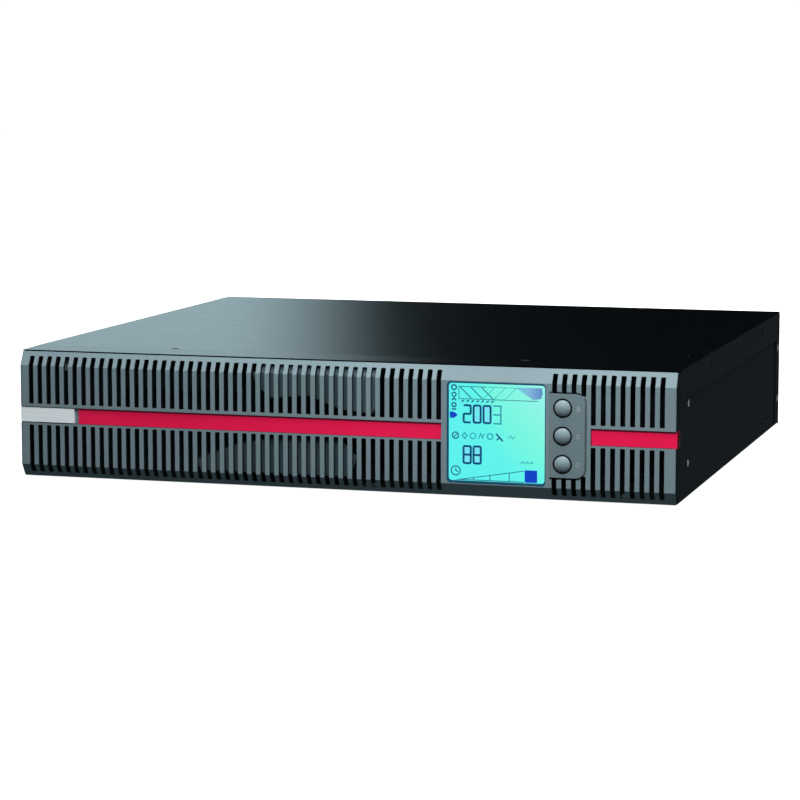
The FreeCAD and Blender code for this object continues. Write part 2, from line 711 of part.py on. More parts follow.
def display_cable():
    """A flat lead from the display's socket back to the control board."""
    z = (DISPLAY_SOCKET_Z[0] + DISPLAY_SOCKET_Z[1]) / 2
    across = (104, 120)
    first = block(across, (24, 30), (z - 0.5, z + 0.5))
    rise = block(across, (30, 31), (z - 0.5, 30))
    back = block(across, (30, CONTROL_Y), (29, 30))
    return fuse([first, rise, back])


# ---------------------------------------------------------------- battery pack


def battery_tray():
    floor = block(TRAY_X, (TRAY_FRONT, TRAY_REAR), (TRAY_LOW, TRAY_LOW + SHEET))
    rear = block(TRAY_X, (TRAY_REAR - SHEET, TRAY_REAR), (TRAY_LOW, TRAY_REAR_HIGH))
    pieces = [floor, rear]
    for side_x in ((TRAY_X[0], TRAY_X[0] + SHEET), (TRAY_X[1] - SHEET, TRAY_X[1])):
        pieces.append(block(side_x, (TRAY_FRONT, TRAY_REAR), (TRAY_LOW, TRAY_SIDE_HIGH)))
    pieces.append(block(TRAY_FACE_X, (TRAY_FRONT, TRAY_FRONT + PANEL), TRAY_FACE_Z))
    pieces.append(tray_grip())
    tray = fuse(pieces)
    tools = [rod((x, TRAY_SCREW_Z), (10, 20), 2.0) for x in TRAY_SCREW_X]
    tools.append(rounded(FINGER_HOLE_X, (10, 17), FINGER_HOLE_Z, 8))
    return tray.cut(tools)


def tray_grip():
    """A folded grip welded over the finger hole in the tray's front."""
    inner = GRIP_FRONT + GRIP_THICK
    lip = block(GRIP_X, (inner, TRAY_FRONT + 0.1), (GRIP_HIGH - GRIP_THICK, GRIP_HIGH))
    bar = block(GRIP_X, (GRIP_FRONT, inner), (GRIP_LOW, GRIP_HIGH))
    return soften(fuse([lip, bar]), 0.8, V(1, 0, 0))


def tray_thumbscrews():
    return [thumbscrew((x, TRAY_SCREW_Z), TRAY_FRONT, -6.5, 6) for x in TRAY_SCREW_X]


def batteries():
    wide, deep, high = BATTERY
    cells = []
    low = TRAY_LOW + SHEET
    for y in BATTERY_FRONT:
        for x in (TRAY_X[0] + 1.3, TRAY_X[0] + 1.9 + wide):
            case = block((x, x + wide - 5), (y, y + deep), (low, low + high))
            lid = block((x + wide - 5, x + wide - 3), (y + 2, y + deep - 2), (low + 2, low + high - 2))
            cells.append(fuse([soften(case, 1.5, V(1, 0, 0)), lid]))
    return cells


def battery_links():
    """Jumpers lying over the cases, from one battery to the next."""
    high = TRAY_LOW + SHEET + BATTERY[2]
    links = []
    for x in (-150.0, -60.0):
        links.append(block(around(x, 4), (158, 190), (high, high + 1.2)))
    links.append(block((-128, -92), (30, 38), (high, high + 1.2)))
    return links


def battery_plug():
    body = block(PLUG_X, (TRAY_REAR, PLUG_REAR), PLUG_Z)
    return soften(body, 1.0, V(0, 1, 0))


def battery_socket():
    """The fixed half of the battery connector, in the wall behind the bay."""
    outer_x = (PLUG_X[0] - SOCKET_WALL, PLUG_X[1] + SOCKET_WALL)
    outer_z = (PLUG_Z[0] - SOCKET_WALL, PLUG_Z[1] + SOCKET_WALL)
    body = block(outer_x, (SOCKET_MOUTH + 2, 362), outer_z)
    flange = block((outer_x[0] - 4, outer_x[1] + 4), (350, BAY_REAR), (outer_z[0] - 2, outer_z[1] + 2))
    mouth_x = (PLUG_X[0] - 0.4, PLUG_X[1] + 0.4)
    mouth_z = (PLUG_Z[0] - 0.4, PLUG_Z[1] + 0.4)
    mouth = block(mouth_x, (SOCKET_MOUTH, PLUG_REAR + 2), mouth_z)
    return fuse([body, flange]).cut(mouth)


def battery_leads():
    """Two heavy leads from the battery connector to the main board."""
    leads = []
    for x, z, rear in ((-54.0, 34.0, 372.0), (-42.0, 26.0, 370.0)):
        target = 14.0 if z > 30 else 24.0
        points = [
            V(x, 362, z),
            V(x, rear, z),
            V(target, rear, z),
            V(target, 352 if target < 20 else 350, z),
        ]
        leads.append(tube(points, 2.2, 5.0))
    return leads


# ---------------------------------------------------------------- rear connectors


def outlet_span(grow):
    half = OUTLET_PITCH * 2 + grow
    return (OUTLET_X - half, OUTLET_X + half)


def outlet_centres():
    return [OUTLET_X + OUTLET_PITCH * (step - 1.5) for step in range(4)]


def notched(x, z, wide, high, y, notch=4.0):
    """A six-sided appliance connector outline, with its two upper corners cut off."""
    points = [
        (x - wide / 2, z - high / 2),
        (x + wide / 2, z - high / 2),
        (x + wide / 2, z + high / 2 - notch),
        (x + wide / 2 - notch, z + high / 2),
        (x - wide / 2 + notch, z + high / 2),
        (x - wide / 2, z + high / 2 - notch),
    ]
    return prism_y(points, y)


def contact_places(x, z):
    return ((x - 7.0, z - 1.5), (x + 7.0, z - 1.5), (x, z + 2.5))


def outlet_block(z):
    rear = CASE_DEPTH + 1.6
    flange = rounded(outlet_span(1.5), (CASE_DEPTH, rear), around(z, OUTLET_OPENING_HALF + 1.5), 1.5)
    body = block(outlet_span(-0.2), (OUTLET_BODY, CASE_DEPTH), around(z, OUTLET_OPENING_HALF - 0.2))
    block_solid = fuse([flange, body])
    tools = []
    for x in outlet_centres():
        groove = notched(x, z, 28.2, 20.2, (rear - SOCKET_DEPTH, rear + 1), 5.0)
        island = notched(x, z, 22.4, 14.4, (rear - SOCKET_DEPTH - 1, rear + 2), 4.0)
        tools.append(groove.cut(island))
        for cx, cz in contact_places(x, z):
            tools.append(block(around(cx, 1.2), (rear - SOCKET_DEPTH, rear + 1), around(cz, 2.2)))
    return block_solid.cut(tools)


def outlet_contacts():
    """A folded sleeve at the bottom of each slot of every outlet."""
    contacts = []
    for z in OUTLET_ROWS:
        for x in outlet_centres():
            for cx, cz in contact_places(x, z):
                z_span = around(cz, BLADE_HALF[1])
                base = block(around(cx, BLADE_HALF[0]), (384.7, 386), z_span)
                left = block((cx - BLADE_HALF[0], cx - 0.6), (386, 396), z_span)
                right = block((cx + 0.6, cx + BLADE_HALF[0]), (386, 396), z_span)
                contacts.append(fuse([base, left, right]))
    return contacts


def inlet_socket():
    x, z = INLET
    rear = CASE_DEPTH + 1.8
    wide, high = INLET_OPENING
    flange = rounded(around(x, wide + 3), (CASE_DEPTH, rear), around(z, high + 2), 2.0)
    body = block(around(x, wide - 0.2), (INLET_BODY, CASE_DEPTH), around(z, high - 0.2))
    cavity = notched(x, z, 24.4, 16.4, (rear - SOCKET_DEPTH, rear + 1), 4.5)
    socket = fuse([flange, body]).cut(cavity)
    holes = []
    for place in contact_places(x, z):
        holes.append(opening(place, BLADE_HALF, (370, rear)))
    return socket.cut(holes)


def inlet_pins():
    pins = []
    for place in contact_places(*INLET):
        blade = opening(place, BLADE_HALF, (372, 399))
        pins.append(soften(blade, 0.7, V(1, 0, 0)))
    return pins


def circuit_breaker():
    x, z = BREAKER
    body = block(around(x, 7.5), (BREAKER_BODY, REAR_IN), around(z, 16))
    neck = rod(BREAKER, (REAR_IN - 1, CASE_DEPTH + 4), BREAKER_HOLE - 0.2)
    nut = hexagon(BREAKER, 8.4, (CASE_DEPTH, CASE_DEPTH + 2.2))
    bore = rod(BREAKER, (385, CASE_DEPTH + 5), 4.3)
    return fuse([body, neck, nut]).cut(bore)


def breaker_button():
    shaft = rod(BREAKER, (386, CASE_DEPTH + 5.2), 4.22)
    rim = [edge for edge in shaft.Edges if edge.BoundBox.YMin > CASE_DEPTH + 5]
    return shaft.makeFillet(1.0, rim)


def hexagon(at, radius, y):
    points = []
    for step in range(6):
        angle = math.pi / 3 * step
        points.append((at[0] + radius * math.cos(angle), at[1] + radius * math.sin(angle)))
    return prism_y(points, y)


def serial_port():
    x, z = SERIAL
    rear = CASE_DEPTH + 5
    wide, high = SERIAL_OPENING
    plate = rounded(around(x, wide + 6), (CASE_DEPTH, CASE_DEPTH + 0.8), around(z, high + 1), 1.5)
    shield_points = [(x - 7.6, z - 4), (x + 7.6, z - 4), (x + 8.8, z + 4), (x - 8.8, z + 4)]
    shield = prism_y(shield_points, (390, rear))
    body = block(around(x, wide - 0.2), (SERIAL_BODY, CASE_DEPTH), around(z, high - 0.2))
    pieces = [plate, shield, body]
    for side in SIDES:
        pieces.append(hexagon((x + side * 12.5, z), 2.9, (CASE_DEPTH, CASE_DEPTH + 5)))
    port = fuse(pieces)
    holes = []
    for row, count in ((1.4, 5), (-1.4, 4)):
        for step in range(count):
            holes.append(rod((x + 2.75 * (step - (count - 1) / 2), z + row), (394, rear + 1), 0.6))
    for side in SIDES:
        holes.append(rod((x + side * 12.5, z), (CASE_DEPTH + 1, rear + 1), 1.4))
    return port.cut(holes)


def usb_port():
    x, z = USB
    rear = CASE_DEPTH + 0.6
    wide, high = USB_OPENING
    shell = block(around(x, wide - 0.1), (USB_BODY, rear), around(z, high - 0.1))
    mouth = notched(x, z, 8.6, 8.0, (389, rear + 1), 1.6)
    tongue = block(around(x, 2.8), (388, rear - 1.5), around(z, 1.6))
    return fuse([shell.cut(mouth), tongue])


def emergency_off_terminal():
    x, z = EMERGENCY
    wide, high = EMERGENCY_OPENING
    body = block(around(x, wide - 0.2), (EMERGENCY_BODY, CASE_DEPTH + 6), around(z, high - 0.2))
    tools = []
    for side in SIDES:
        at = x + side * 2.7
        tools.append(block(around(at, 1.8), (398, CASE_DEPTH + 7), (z - 3.2, z + 0.6)))
        tools.append(post((at, CASE_DEPTH + 3), (z + 2.6, z + 6), 1.7))
    return body.cut(tools)


def surge_jacks():
    jacks = []
    rear = CASE_DEPTH + 1.0
    wide, high = JACK_OPENING
    for x, z in JACKS:
        body = block(around(x, wide - 0.1), (JACK_BODY, rear), around(z, high - 0.1))
        mouth = block(around(x, 5.9), (389, rear + 1), around(z, 3.6))
        key = block(around(x, 3.0), (389, rear + 1), (z - 5.3, z))
        jacks.append(body.cut([mouth, key]))
    return jacks


def slot_cover_screws():
    return (SLOT_COVER_X[0] + 4.5, SLOT_COVER_X[1] - 4.5)


def accessory_slot_cover():
    y = (CASE_DEPTH, CASE_DEPTH + 1.2)
    cover = rounded(SLOT_COVER_X, y, SLOT_COVER_Z, 1.5)
    lip_z = (SLOT_OPENING_Z[0] + 1, SLOT_OPENING_Z[0] + 2)
    lip = block((SLOT_COVER_X[0] + 9, SLOT_COVER_X[1] - 9), (392, CASE_DEPTH), lip_z)
    holes = [rod((x, SLOT_SCREW_Z), (390, 410), THUMB_HOLE) for x in slot_cover_screws()]
    return fuse([cover, lip]).cut(holes)


def accessory_slot_thumbscrews():
    face = CASE_DEPTH + 1.2
    return [thumbscrew((x, SLOT_SCREW_Z), face, THUMB_HEAD - 1.2, 8) for x in slot_cover_screws()]


def ground_screw():
    head = hexagon(GROUND, 4.2, (CASE_DEPTH + 1, CASE_DEPTH + 4))
    washer = rod(GROUND, (CASE_DEPTH, CASE_DEPTH + 1), 5)
    return fuse([head, washer, rod(GROUND, (390, CASE_DEPTH + 2), 2.0)])


# ---------------------------------------------------------------- fans


def fan_corners(x):
    return [(x + i * FAN_SCREW, FAN_Z + j * FAN_SCREW) for i in SIDES for j in SIDES]


def fan_frame(x):
    """A square fan frame with a round duct, four struts and the rotor's bearing."""
    half = FAN_SIZE / 2
    pieces = [rod((x, FAN_Z), (FAN_FRONT, REAR_IN), half - 0.2)]
    for y in ((FAN_FRONT, FAN_FRONT + 4), (REAR_IN - 4, REAR_IN)):
        pieces.append(rounded(around(x, half), y, around(FAN_Z, half), 5))
    duct = fuse(pieces).cut(rod((x, FAN_Z), (FAN_FRONT - 1, REAR_IN + 1), FAN_BORE))
    duct = duct.cut([rod(at, (FAN_FRONT - 1, REAR_IN + 1), FAN_SCREW_HOLE) for at in fan_corners(x)])
    base_y = (REAR_IN - 4, REAR_IN - 0.5)
    hub = [rod((x, FAN_Z), base_y, 16), rod((x, FAN_Z), (FAN_FRONT + 7, REAR_IN - 3), 4)]
    for step in range(4):
        strut = block((x + 14, x + FAN_BORE + 1), (REAR_IN - 3.5, REAR_IN - 0.5), around(FAN_Z, 2))
        strut.rotate(V(x, 0, FAN_Z), V(0, 1, 0), 45 + 90 * step)
        hub.append(strut)
    bore = rod((x, FAN_Z), (FAN_FRONT + 6, REAR_IN - 2), 1.56)
    return fuse([duct] + hub).cut(bore)


def fan_rotor(x):
    """Seven pitched blades on a cup that runs over the frame's bearing."""
    front = FAN_FRONT + 1.5
    rear = REAR_IN - 5
    cup = rod((x, FAN_Z), (front, rear), 16.5).cut(rod((x, FAN_Z), (front + 2, rear + 1), 14.5))
    shaft = rod((x, FAN_Z), (front + 1, REAR_IN - 3.5), 1.5)
    blades = []
    for step in range(BLADES):
        blade = Part.makeBox(22, 20, 1.6, V(15.6, -10, -0.8))
        blade.rotate(V(0, 0, 0), V(1, 0, 0), 48)
        blade.translate(V(x, (front + rear) / 2, FAN_Z))
        blade.rotate(V(x, 0, FAN_Z), V(0, 1, 0), 360 / BLADES * step)
        blades.append(blade)
    sweep = rod((x, FAN_Z), (front + 0.5, rear - 0.5), ROTOR_RADIUS)
    sweep = sweep.cut(rod((x, FAN_Z), (front, rear), 15.6))
    trimmed = [blade.common(sweep) for blade in blades]
    return fuse([cup, shaft] + trimmed)


def fan_guard(x):
    """Wire rings on four arms, each arm ending in an ear under a screw."""
    wire = 0.8
    ring_y = CASE_DEPTH + 1.3
    pieces = []
    for radius in (9.0, 17.0, 25.0, 33.0):
        pieces.append(Part.makeTorus(radius, wire, V(x, ring_y, FAN_Z), V(0, 1, 0)))
    reach = math.hypot(FAN_SCREW, FAN_SCREW)
    for step in range(4):
        arm = Part.makeCylinder(wire, reach - 12.2, V(x + 8.3, ring_y + 0.7, FAN_Z), V(1, 0, 0))
        ear = rod((x + reach, FAN_Z), (CASE_DEPTH, CASE_DEPTH + 2.4), 4.2)
        hole = rod((x + reach, FAN_Z), (CASE_DEPTH - 1, CASE_DEPTH + 3), FAN_SCREW_HOLE)
        side = fuse([arm, ear]).cut(hole)
        side.rotate(V(x, 0, FAN_Z), V(0, 1, 0), 45 + 90 * step)
        pieces.append(side)
    return fuse(pieces)


def fan_screws():
    screws = []
    for x in FAN_X:
        for at in fan_corners(x):
            face = CASE_DEPTH + 2.4
            head = cone(V(at[0], face, at[1]), V(0, 1, 0), 1.8, 3.6, 2.4)
            screws.append(fuse([head, rod(at, (378, face + 0.5), 2.0)]))
    return screws


# ---------------------------------------------------------------- electronics


def main_board():
    return block(MAIN_BOARD_X, MAIN_BOARD_Y, MAIN_BOARD_Z)


def board_standoffs():
    posts = []
    for x in (12.0, 107.0, 202.0):
        for y in (70.0, 214.0, 358.0):
            posts.append(post((x, y), (FLOOR, MAIN_BOARD_Z[0]), 3.0))
    return posts


def heatsink(x):
    """An upright back plate with fins on its right side."""
    low = MAIN_BOARD_Z[1]
    pieces = [block((x, x + 5), HEATSINK_Y, (low, low + HEATSINK_HIGH))]
    for step in range(HEATSINK_FINS):
        z = low + 2 + step * 7
        pieces.append(block((x + 4, x + 30), HEATSINK_Y, (z, z + 1.8)))
    return fuse(pieces)


def power_transistors():
    cans = []
    for x in HEATSINKS_X:
        for step in range(4):
            y = 212 + step * 38
            cans.append(block((x - 5, x), (y, y + 16), (MAIN_BOARD_Z[1] + 6, MAIN_BOARD_Z[1] + 27)))
    return cans


def bulk_capacitors():
    cans = []
    for x in (104.0, 186.0):
        for y in (150.0, 184.0):
            can = post((x, y), (MAIN_BOARD_Z[1], CAPACITOR_TOP), 15)
            top = [edge for edge in can.Edges if edge.BoundBox.ZMin > CAPACITOR_TOP - 1]
            cans.append(can.makeFillet(1.5, top))
    return cans


def toroid_chokes():
    rings = []
    for x, y in ((28.5, 160.0), (28.5, 222.0)):
        rings.append(Part.makeTorus(14, 7, V(x, y, MAIN_BOARD_Z[1] + 7.02)))
    return rings


def transformer_core():
    """Two windows in a block leave the yokes and the middle limb."""
    low = MAIN_BOARD_Z[1]
    outer = block(TRANSFORMER_X, TRANSFORMER_Y, (low, low + TRANSFORMER_HIGH))
    left = (TRANSFORMER_X[0] + CORE_YOKE, CORE_LIMB_X[0])
    right = (CORE_LIMB_X[1], TRANSFORMER_X[1] - CORE_YOKE)
    through = (TRANSFORMER_Y[0] - 6, TRANSFORMER_Y[1] + 6)
    z = (low + CORE_YOKE, low + TRANSFORMER_HIGH - CORE_YOKE)
    return outer.cut([block(x, through, z) for x in (left, right)])


def transformer_winding():
    low = MAIN_BOARD_Z[1] + CORE_YOKE + 1
    coil_x = (CORE_LIMB_X[0] - 10, CORE_LIMB_X[1] + 10)
    coil_y = (TRANSFORMER_Y[0] - 8, TRANSFORMER_Y[1] + 8)
    coil = block(coil_x, coil_y, (low, low + 26))
    limb_x = (CORE_LIMB_X[0] - 0.2, CORE_LIMB_X[1] + 0.2)
    limb_y = (TRANSFORMER_Y[0] - 0.2, TRANSFORMER_Y[1] + 0.2)
    return coil.cut(block(limb_x, limb_y, (low - 2, low + 30)))


def relays():
    boxes = []
    for step in range(4):
        y = 270 + step * 22
        boxes.append(block((12, 41), (y, y + 13), (MAIN_BOARD_Z[1], MAIN_BOARD_Z[1] + 26)))
    return boxes


def control_board():
    """An upright board on the main board, with its processor and header."""
    low = MAIN_BOARD_Z[1]
    board = block((50, 116), (CONTROL_Y, CONTROL_Y + 1.6), (low, low + 56))
    chip = block((70, 84), (CONTROL_Y + 1.6, CONTROL_Y + 3.2), (low + 20, low + 34))
    return fuse([board, chip])


def comms_board():
    board = block((-32, 44), (372, REAR_IN - 1.8), (6.0, 7.6))
    feet = [post((x, 378), (FLOOR, 6.0), 2.5) for x in (-27, 39)]
    upright = block((-31, 4), (382, 383.6), (7.6, 42))
    return fuse([board, upright] + feet)


def build():
    save("chassis_base", chassis_base())
    save("top_cover", top_cover())
    save("rear_panel", rear_panel())
    save("front_frame", front_frame())
    save("battery_bay_divider", battery_bay_divider())
    save("cover_screws", *cover_screws())
    save("side_screws", *side_screws())
    save("outlet_block_lower", outlet_block(OUTLET_ROWS[0]))
    save("outlet_block_upper", outlet_block(OUTLET_ROWS[1]))
    save("outlet_contacts", *outlet_contacts())
    save("inlet_socket", inlet_socket())
    save("inlet_pins", *inlet_pins())
    save("circuit_breaker", circuit_breaker())
    save("breaker_button", breaker_button())
    save("serial_port", serial_port())
    save("usb_port", usb_port())
    save("emergency_off_terminal", emergency_off_terminal())
    save("surge_jacks", *surge_jacks())
    save("accessory_slot_cover", accessory_slot_cover())
    save("accessory_slot_thumbscrews", *accessory_slot_thumbscrews())
    save("ground_screw", ground_screw())
    for side, x in zip(("left", "right"), FAN_X):
        save("fan_frame_" + side, fan_frame(x))
        save("fan_rotor_" + side, fan_rotor(x))
    save("fan_guards", *[fan_guard(x) for x in FAN_X])
    save("fan_screws", *fan_screws())
    save("main_board", main_board())
    save("board_standoffs", *board_standoffs())
    save("heatsinks", *[heatsink(x) for x in HEATSINKS_X])
    save("power_transistors", *power_transistors())
    save("bulk_capacitors", *bulk_capacitors())
    save("toroid_chokes", *toroid_chokes())
    save("transformer_core", transformer_core())
    save("transformer_winding", transformer_winding())
    save("relays", *relays())
    save("control_board", control_board())
    save("comms_board", comms_board())
    save("battery_leads", *battery_leads())
    save("battery_socket", battery_socket())
    save("display_socket", display_socket())
    save("display_cable", display_cable())
    save("bezel_shell", bezel_shell())
    save("red_stripe_left", red_stripe_left())
    save("red_stripe_right", red_stripe_right())
    save("name_plate", name_plate())
    save("display_window", display_window())
    save("display_panel", display_panel())
    save("display_board", display_board())
    save("display_board_screws", *display_board_screws())
    save("keypad_plate", keypad_plate())
    save("tact_switches", *tact_switches())
    for name, z in zip(("upper", "middle", "lower"), BUTTON_Z):
        save("button_" + name, push_button(z))
    save("battery_tray", battery_tray())
    save("batteries", *batteries())
    save("battery_links", *battery_links())
    save("battery_plug", battery_plug())
    save("tray_thumbscrews", *tray_thumbscrews())


os.makedirs("parts", exist_ok=True)
build()
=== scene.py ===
import math

import bmesh
import bpy
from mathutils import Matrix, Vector


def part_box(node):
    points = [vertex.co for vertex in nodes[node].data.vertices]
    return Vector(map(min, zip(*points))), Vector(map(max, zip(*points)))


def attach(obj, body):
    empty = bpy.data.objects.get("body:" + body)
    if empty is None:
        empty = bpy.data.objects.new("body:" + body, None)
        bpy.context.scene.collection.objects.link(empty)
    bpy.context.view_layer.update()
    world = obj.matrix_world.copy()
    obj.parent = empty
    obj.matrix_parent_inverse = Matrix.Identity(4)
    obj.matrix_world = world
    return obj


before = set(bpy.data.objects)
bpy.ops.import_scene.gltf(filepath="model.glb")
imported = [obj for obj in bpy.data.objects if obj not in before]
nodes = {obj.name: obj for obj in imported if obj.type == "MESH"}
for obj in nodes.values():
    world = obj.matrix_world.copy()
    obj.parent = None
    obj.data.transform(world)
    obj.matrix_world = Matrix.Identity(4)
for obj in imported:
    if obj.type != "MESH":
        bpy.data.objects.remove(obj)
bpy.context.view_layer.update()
scene = bpy.context.scene

MM = 0.001
WHITE = (1.0, 1.0, 1.0, 1.0)
BLACK = (0.0, 0.0, 0.0, 1.0)
BUTTONS = ("button_upper", "button_middle", "button_lower")
BEZEL_LOW, BEZEL_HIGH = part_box("bezel_shell")
FACE_Y = BEZEL_LOW[1]


def srgb(red, green, blue):
    """A display colour, 0 to 255, as the linear colour that shaders take."""
    linear = []
    for value in (red, green, blue):
        share = value / 255
        linear.append(share / 12.92 if share <= 0.04045 else ((share + 0.055) / 1.055) ** 2.4)
    return (*linear, 1.0)


# ---------------------------------------------------------------- camera, floor, world and lights

LENS, SENSOR = 127.5, 36.0              # mm
CAMERA_PLACE = (0.5456, FACE_Y - 1.7011, 0.2876)
CAMERA_DOWN = 7.295                     # degrees below level
CAMERA_TURN = 16.506                    # degrees to the left

FLOOR_HALF = 6.0
FLOOR_DROP = 0.0003                     # below the object's foot, so that the two never coincide
FLOOR_GLOW = 0.95

# The world. Azimuths run from straight behind the object to its left. Heights and the forward part are parts
# of the direction, from -1 to 1. Each pair is where a change begins and where it is complete.
ROOM_COLOUR = srgb(208, 240, 250)
BACKDROP_STRENGTH = 1.05                # what the camera sees past the floor
WALL_STRENGTH = 0.9
WALL_NEAR_EDGE = (math.radians(16.5), math.radians(20.3))
WALL_FAR_EDGE = (math.radians(75.0), math.radians(120.0))
WALL_FOOT = (-0.02, 0.03)
WALL_TOP = (0.25, 0.55)
WALL_LEAN = math.radians(1.0)           # how much further right the near edge lies where the wall is higher
LEAN_HEIGHT = (0.15, 0.17)
GLOW_FORWARD = (0.2, 0.8)

# Strength along each ramp, as (place from 0 to 1, strength). The room's ramp runs from straight down to
# straight up: dim below, black at the horizon, and brighter overhead. The glow's ramp runs from level to
# straight up.
FADE_OUT = ((0.0, 1.0), (1.0, 0.0))
FADE_IN = ((0.0, 0.0), (1.0, 1.0))
ROOM_STOPS = ((0.0, 0.05), (0.45, 0.035), (0.5, 0.003), (0.62, 0.003), (0.78, 0.10), (1.0, 0.2))
GLOW_STOPS = ((0.1, 0.0), (0.3, 0.33), (0.7, 0.33), (0.9, 0.0))

# Name, place, target, size in metres, watts, and whether the light shows in reflections.
AREA_LIGHTS = (
    ("overhead", (0.1, -0.75, 2.6), (0.1, -0.2, 0.04), (1.2, 0.8), 53.0, True),
    ("front_strip", (0.2, FACE_Y - 0.28, 0.42), (0.2, FACE_Y, 0.04), (0.7, 0.1), 3.1, False),
    ("rear_fill", (0.3, 2.3, 1.0), (0.0, 0.2, 0.04), (1.6, 1.0), 190.0, False),
)


def make_camera():
    data = bpy.data.cameras.new("camera")
    data.lens = LENS
    data.sensor_width = SENSOR
    camera = bpy.data.objects.new("camera", data)
    camera.location = CAMERA_PLACE
    camera.rotation_euler = (math.radians(90 - CAMERA_DOWN), 0.0, math.radians(CAMERA_TURN))
    scene.collection.objects.link(camera)
    scene.camera = camera


def make_floor():
    """A white floor that only the camera sees: it sends no light onto the object or into its reflections."""
    mesh = bpy.data.meshes.new("floor")
    corners = [(x * FLOOR_HALF, y * FLOOR_HALF, 0) for x, y in ((-1, -1), (1, -1), (1, 1), (-1, 1))]
    mesh.from_pydata(corners, [], [(0, 1, 2, 3)])
    floor = bpy.data.objects.new("floor", mesh)
    floor.location = (0, 0, -FLOOR_DROP)
    scene.collection.objects.link(floor)
    mat, tree, shader = shaded("floor_white", (0.3, 0.3, 0.3, 1.0), 0.9)
    vary_roughness(tree, shader, noise_node(tree, 3.0), 0.85, 0.95)
    shader.inputs["Emission Color"].default_value = WHITE
    shader.inputs["Emission Strength"].default_value = FLOOR_GLOW
    mesh.materials.append(mat)
    floor.visible_diffuse = False
    floor.visible_glossy = False
    floor.visible_transmission = False


def make_world():
    """White behind the object; for reflections a dim room with a pale wall behind and to the left, and a
    soft glow from the front."""
    world = bpy.data.worlds.new("studio")
    scene.world = world
    world.use_nodes = True
    tree = world.node_tree
    tree.nodes.clear()
    direction = split_coordinates(tree, "Generated")
    upward = direction["Z"]
    minus_x = math_node(tree, "MULTIPLY", direction["X"], -1.0)
    minus_y = math_node(tree, "MULTIPLY", direction["Y"], -1.0)
    azimuth = math_node(tree, "ARCTAN2", minus_x, direction["Y"])
    lean = math_node(tree, "MULTIPLY", ramp_node(tree, upward, LEAN_HEIGHT, FADE_IN), WALL_LEAN)
    azimuth = math_node(tree, "ADD", azimuth, lean)
    wall = ramp_node(tree, azimuth, WALL_NEAR_EDGE, FADE_IN)
    wall = math_node(tree, "MULTIPLY", wall, ramp_node(tree, azimuth, WALL_FAR_EDGE, FADE_OUT))
    wall = math_node(tree, "MULTIPLY", wall, ramp_node(tree, upward, WALL_FOOT, FADE_IN))
    wall = math_node(tree, "MULTIPLY", wall, ramp_node(tree, upward, WALL_TOP, FADE_OUT))
    wall = math_node(tree, "MULTIPLY", wall, WALL_STRENGTH)
    room = ramp_node(tree, upward, (-1.0, 1.0), ROOM_STOPS)
    forward = ramp_node(tree, minus_y, GLOW_FORWARD, FADE_IN)
    glow = math_node(tree, "MULTIPLY", forward, ramp_node(tree, upward, (0.0, 1.0), GLOW_STOPS))
    strength = math_node(tree, "ADD", math_node(tree, "ADD", wall, room), glow)
    lit = tree.nodes.new("ShaderNodeBackground")
    lit.inputs["Color"].default_value = ROOM_COLOUR
    tree.links.new(strength, lit.inputs["Strength"])
    behind = tree.nodes.new("ShaderNodeBackground")
    behind.inputs["Color"].default_value = WHITE
    behind.inputs["Strength"].default_value = BACKDROP_STRENGTH
    path = tree.nodes.new("ShaderNodeLightPath")
    mix = tree.nodes.new("ShaderNodeMixShader")
    tree.links.new(path.outputs["Is Camera Ray"], mix.inputs["Fac"])
    tree.links.new(lit.outputs[0], mix.inputs[1])
    tree.links.new(behind.outputs[0], mix.inputs[2])
    out = tree.nodes.new("ShaderNodeOutputWorld")
    tree.links.new(mix.outputs[0], out.inputs["Surface"])


def make_lights():
    for name, place, target, size, watts, glossy in AREA_LIGHTS:
        data = bpy.data.lights.new(name, "AREA")
        data.shape = "RECTANGLE"
        data.size, data.size_y = size
        data.energy = watts
        light = bpy.data.objects.new(name, data)
        light.location = place
        direction = [t - p for t, p in zip(target, place)]
        light.rotation_euler = Vector(direction).to_track_quat("-Z", "Y").to_euler()
        light.visible_camera = False
        light.visible_glossy = glossy
        scene.collection.objects.link(light)


# ---------------------------------------------------------------- shader helpers

NOISE_LOW, NOISE_HIGH = 0.3, 0.7        # nearly all of a noise texture's values lie between these


def shaded(name, colour, roughness, metallic=0.0):
    mat = bpy.data.materials.new(name)
    mat.use_nodes = True
    tree = mat.node_tree
    shader = tree.nodes["Principled BSDF"]
    shader.inputs["Base Color"].default_value = colour
    shader.inputs["Roughness"].default_value = roughness
    shader.inputs["Metallic"].default_value = metallic
    return mat, tree, shader


def split_coordinates(tree, kind):
    """The X, Y and Z of a texture coordinate, by name."""
    coordinates = tree.nodes.new("ShaderNodeTexCoord")
    split = tree.nodes.new("ShaderNodeSeparateXYZ")
    tree.links.new(coordinates.outputs[kind], split.inputs[0])
    return split.outputs


def math_node(tree, operation, *values):
    node = tree.nodes.new("ShaderNodeMath")
    node.operation = operation
    for socket, value in zip(node.inputs, values):
        if isinstance(value, (int, float)):
            socket.default_value = value
        else:
            tree.links.new(value, socket)
    return node.outputs[0]


def map_range(tree, value, limits, target=(0.0, 1.0)):
    node = tree.nodes.new("ShaderNodeMapRange")
    node.inputs["From Min"].default_value, node.inputs["From Max"].default_value = limits
    node.inputs["To Min"].default_value, node.inputs["To Max"].default_value = target
    tree.links.new(value, node.inputs["Value"])
    return node.outputs["Result"]


def ramp_node(tree, value, limits, stops):
    """Maps value, between its limits, onto a brightness that runs through stops."""
    colours = [(place, (level, level, level, 1.0)) for place, level in stops]
    return colour_ramp(tree, map_range(tree, value, limits), colours, "EASE")


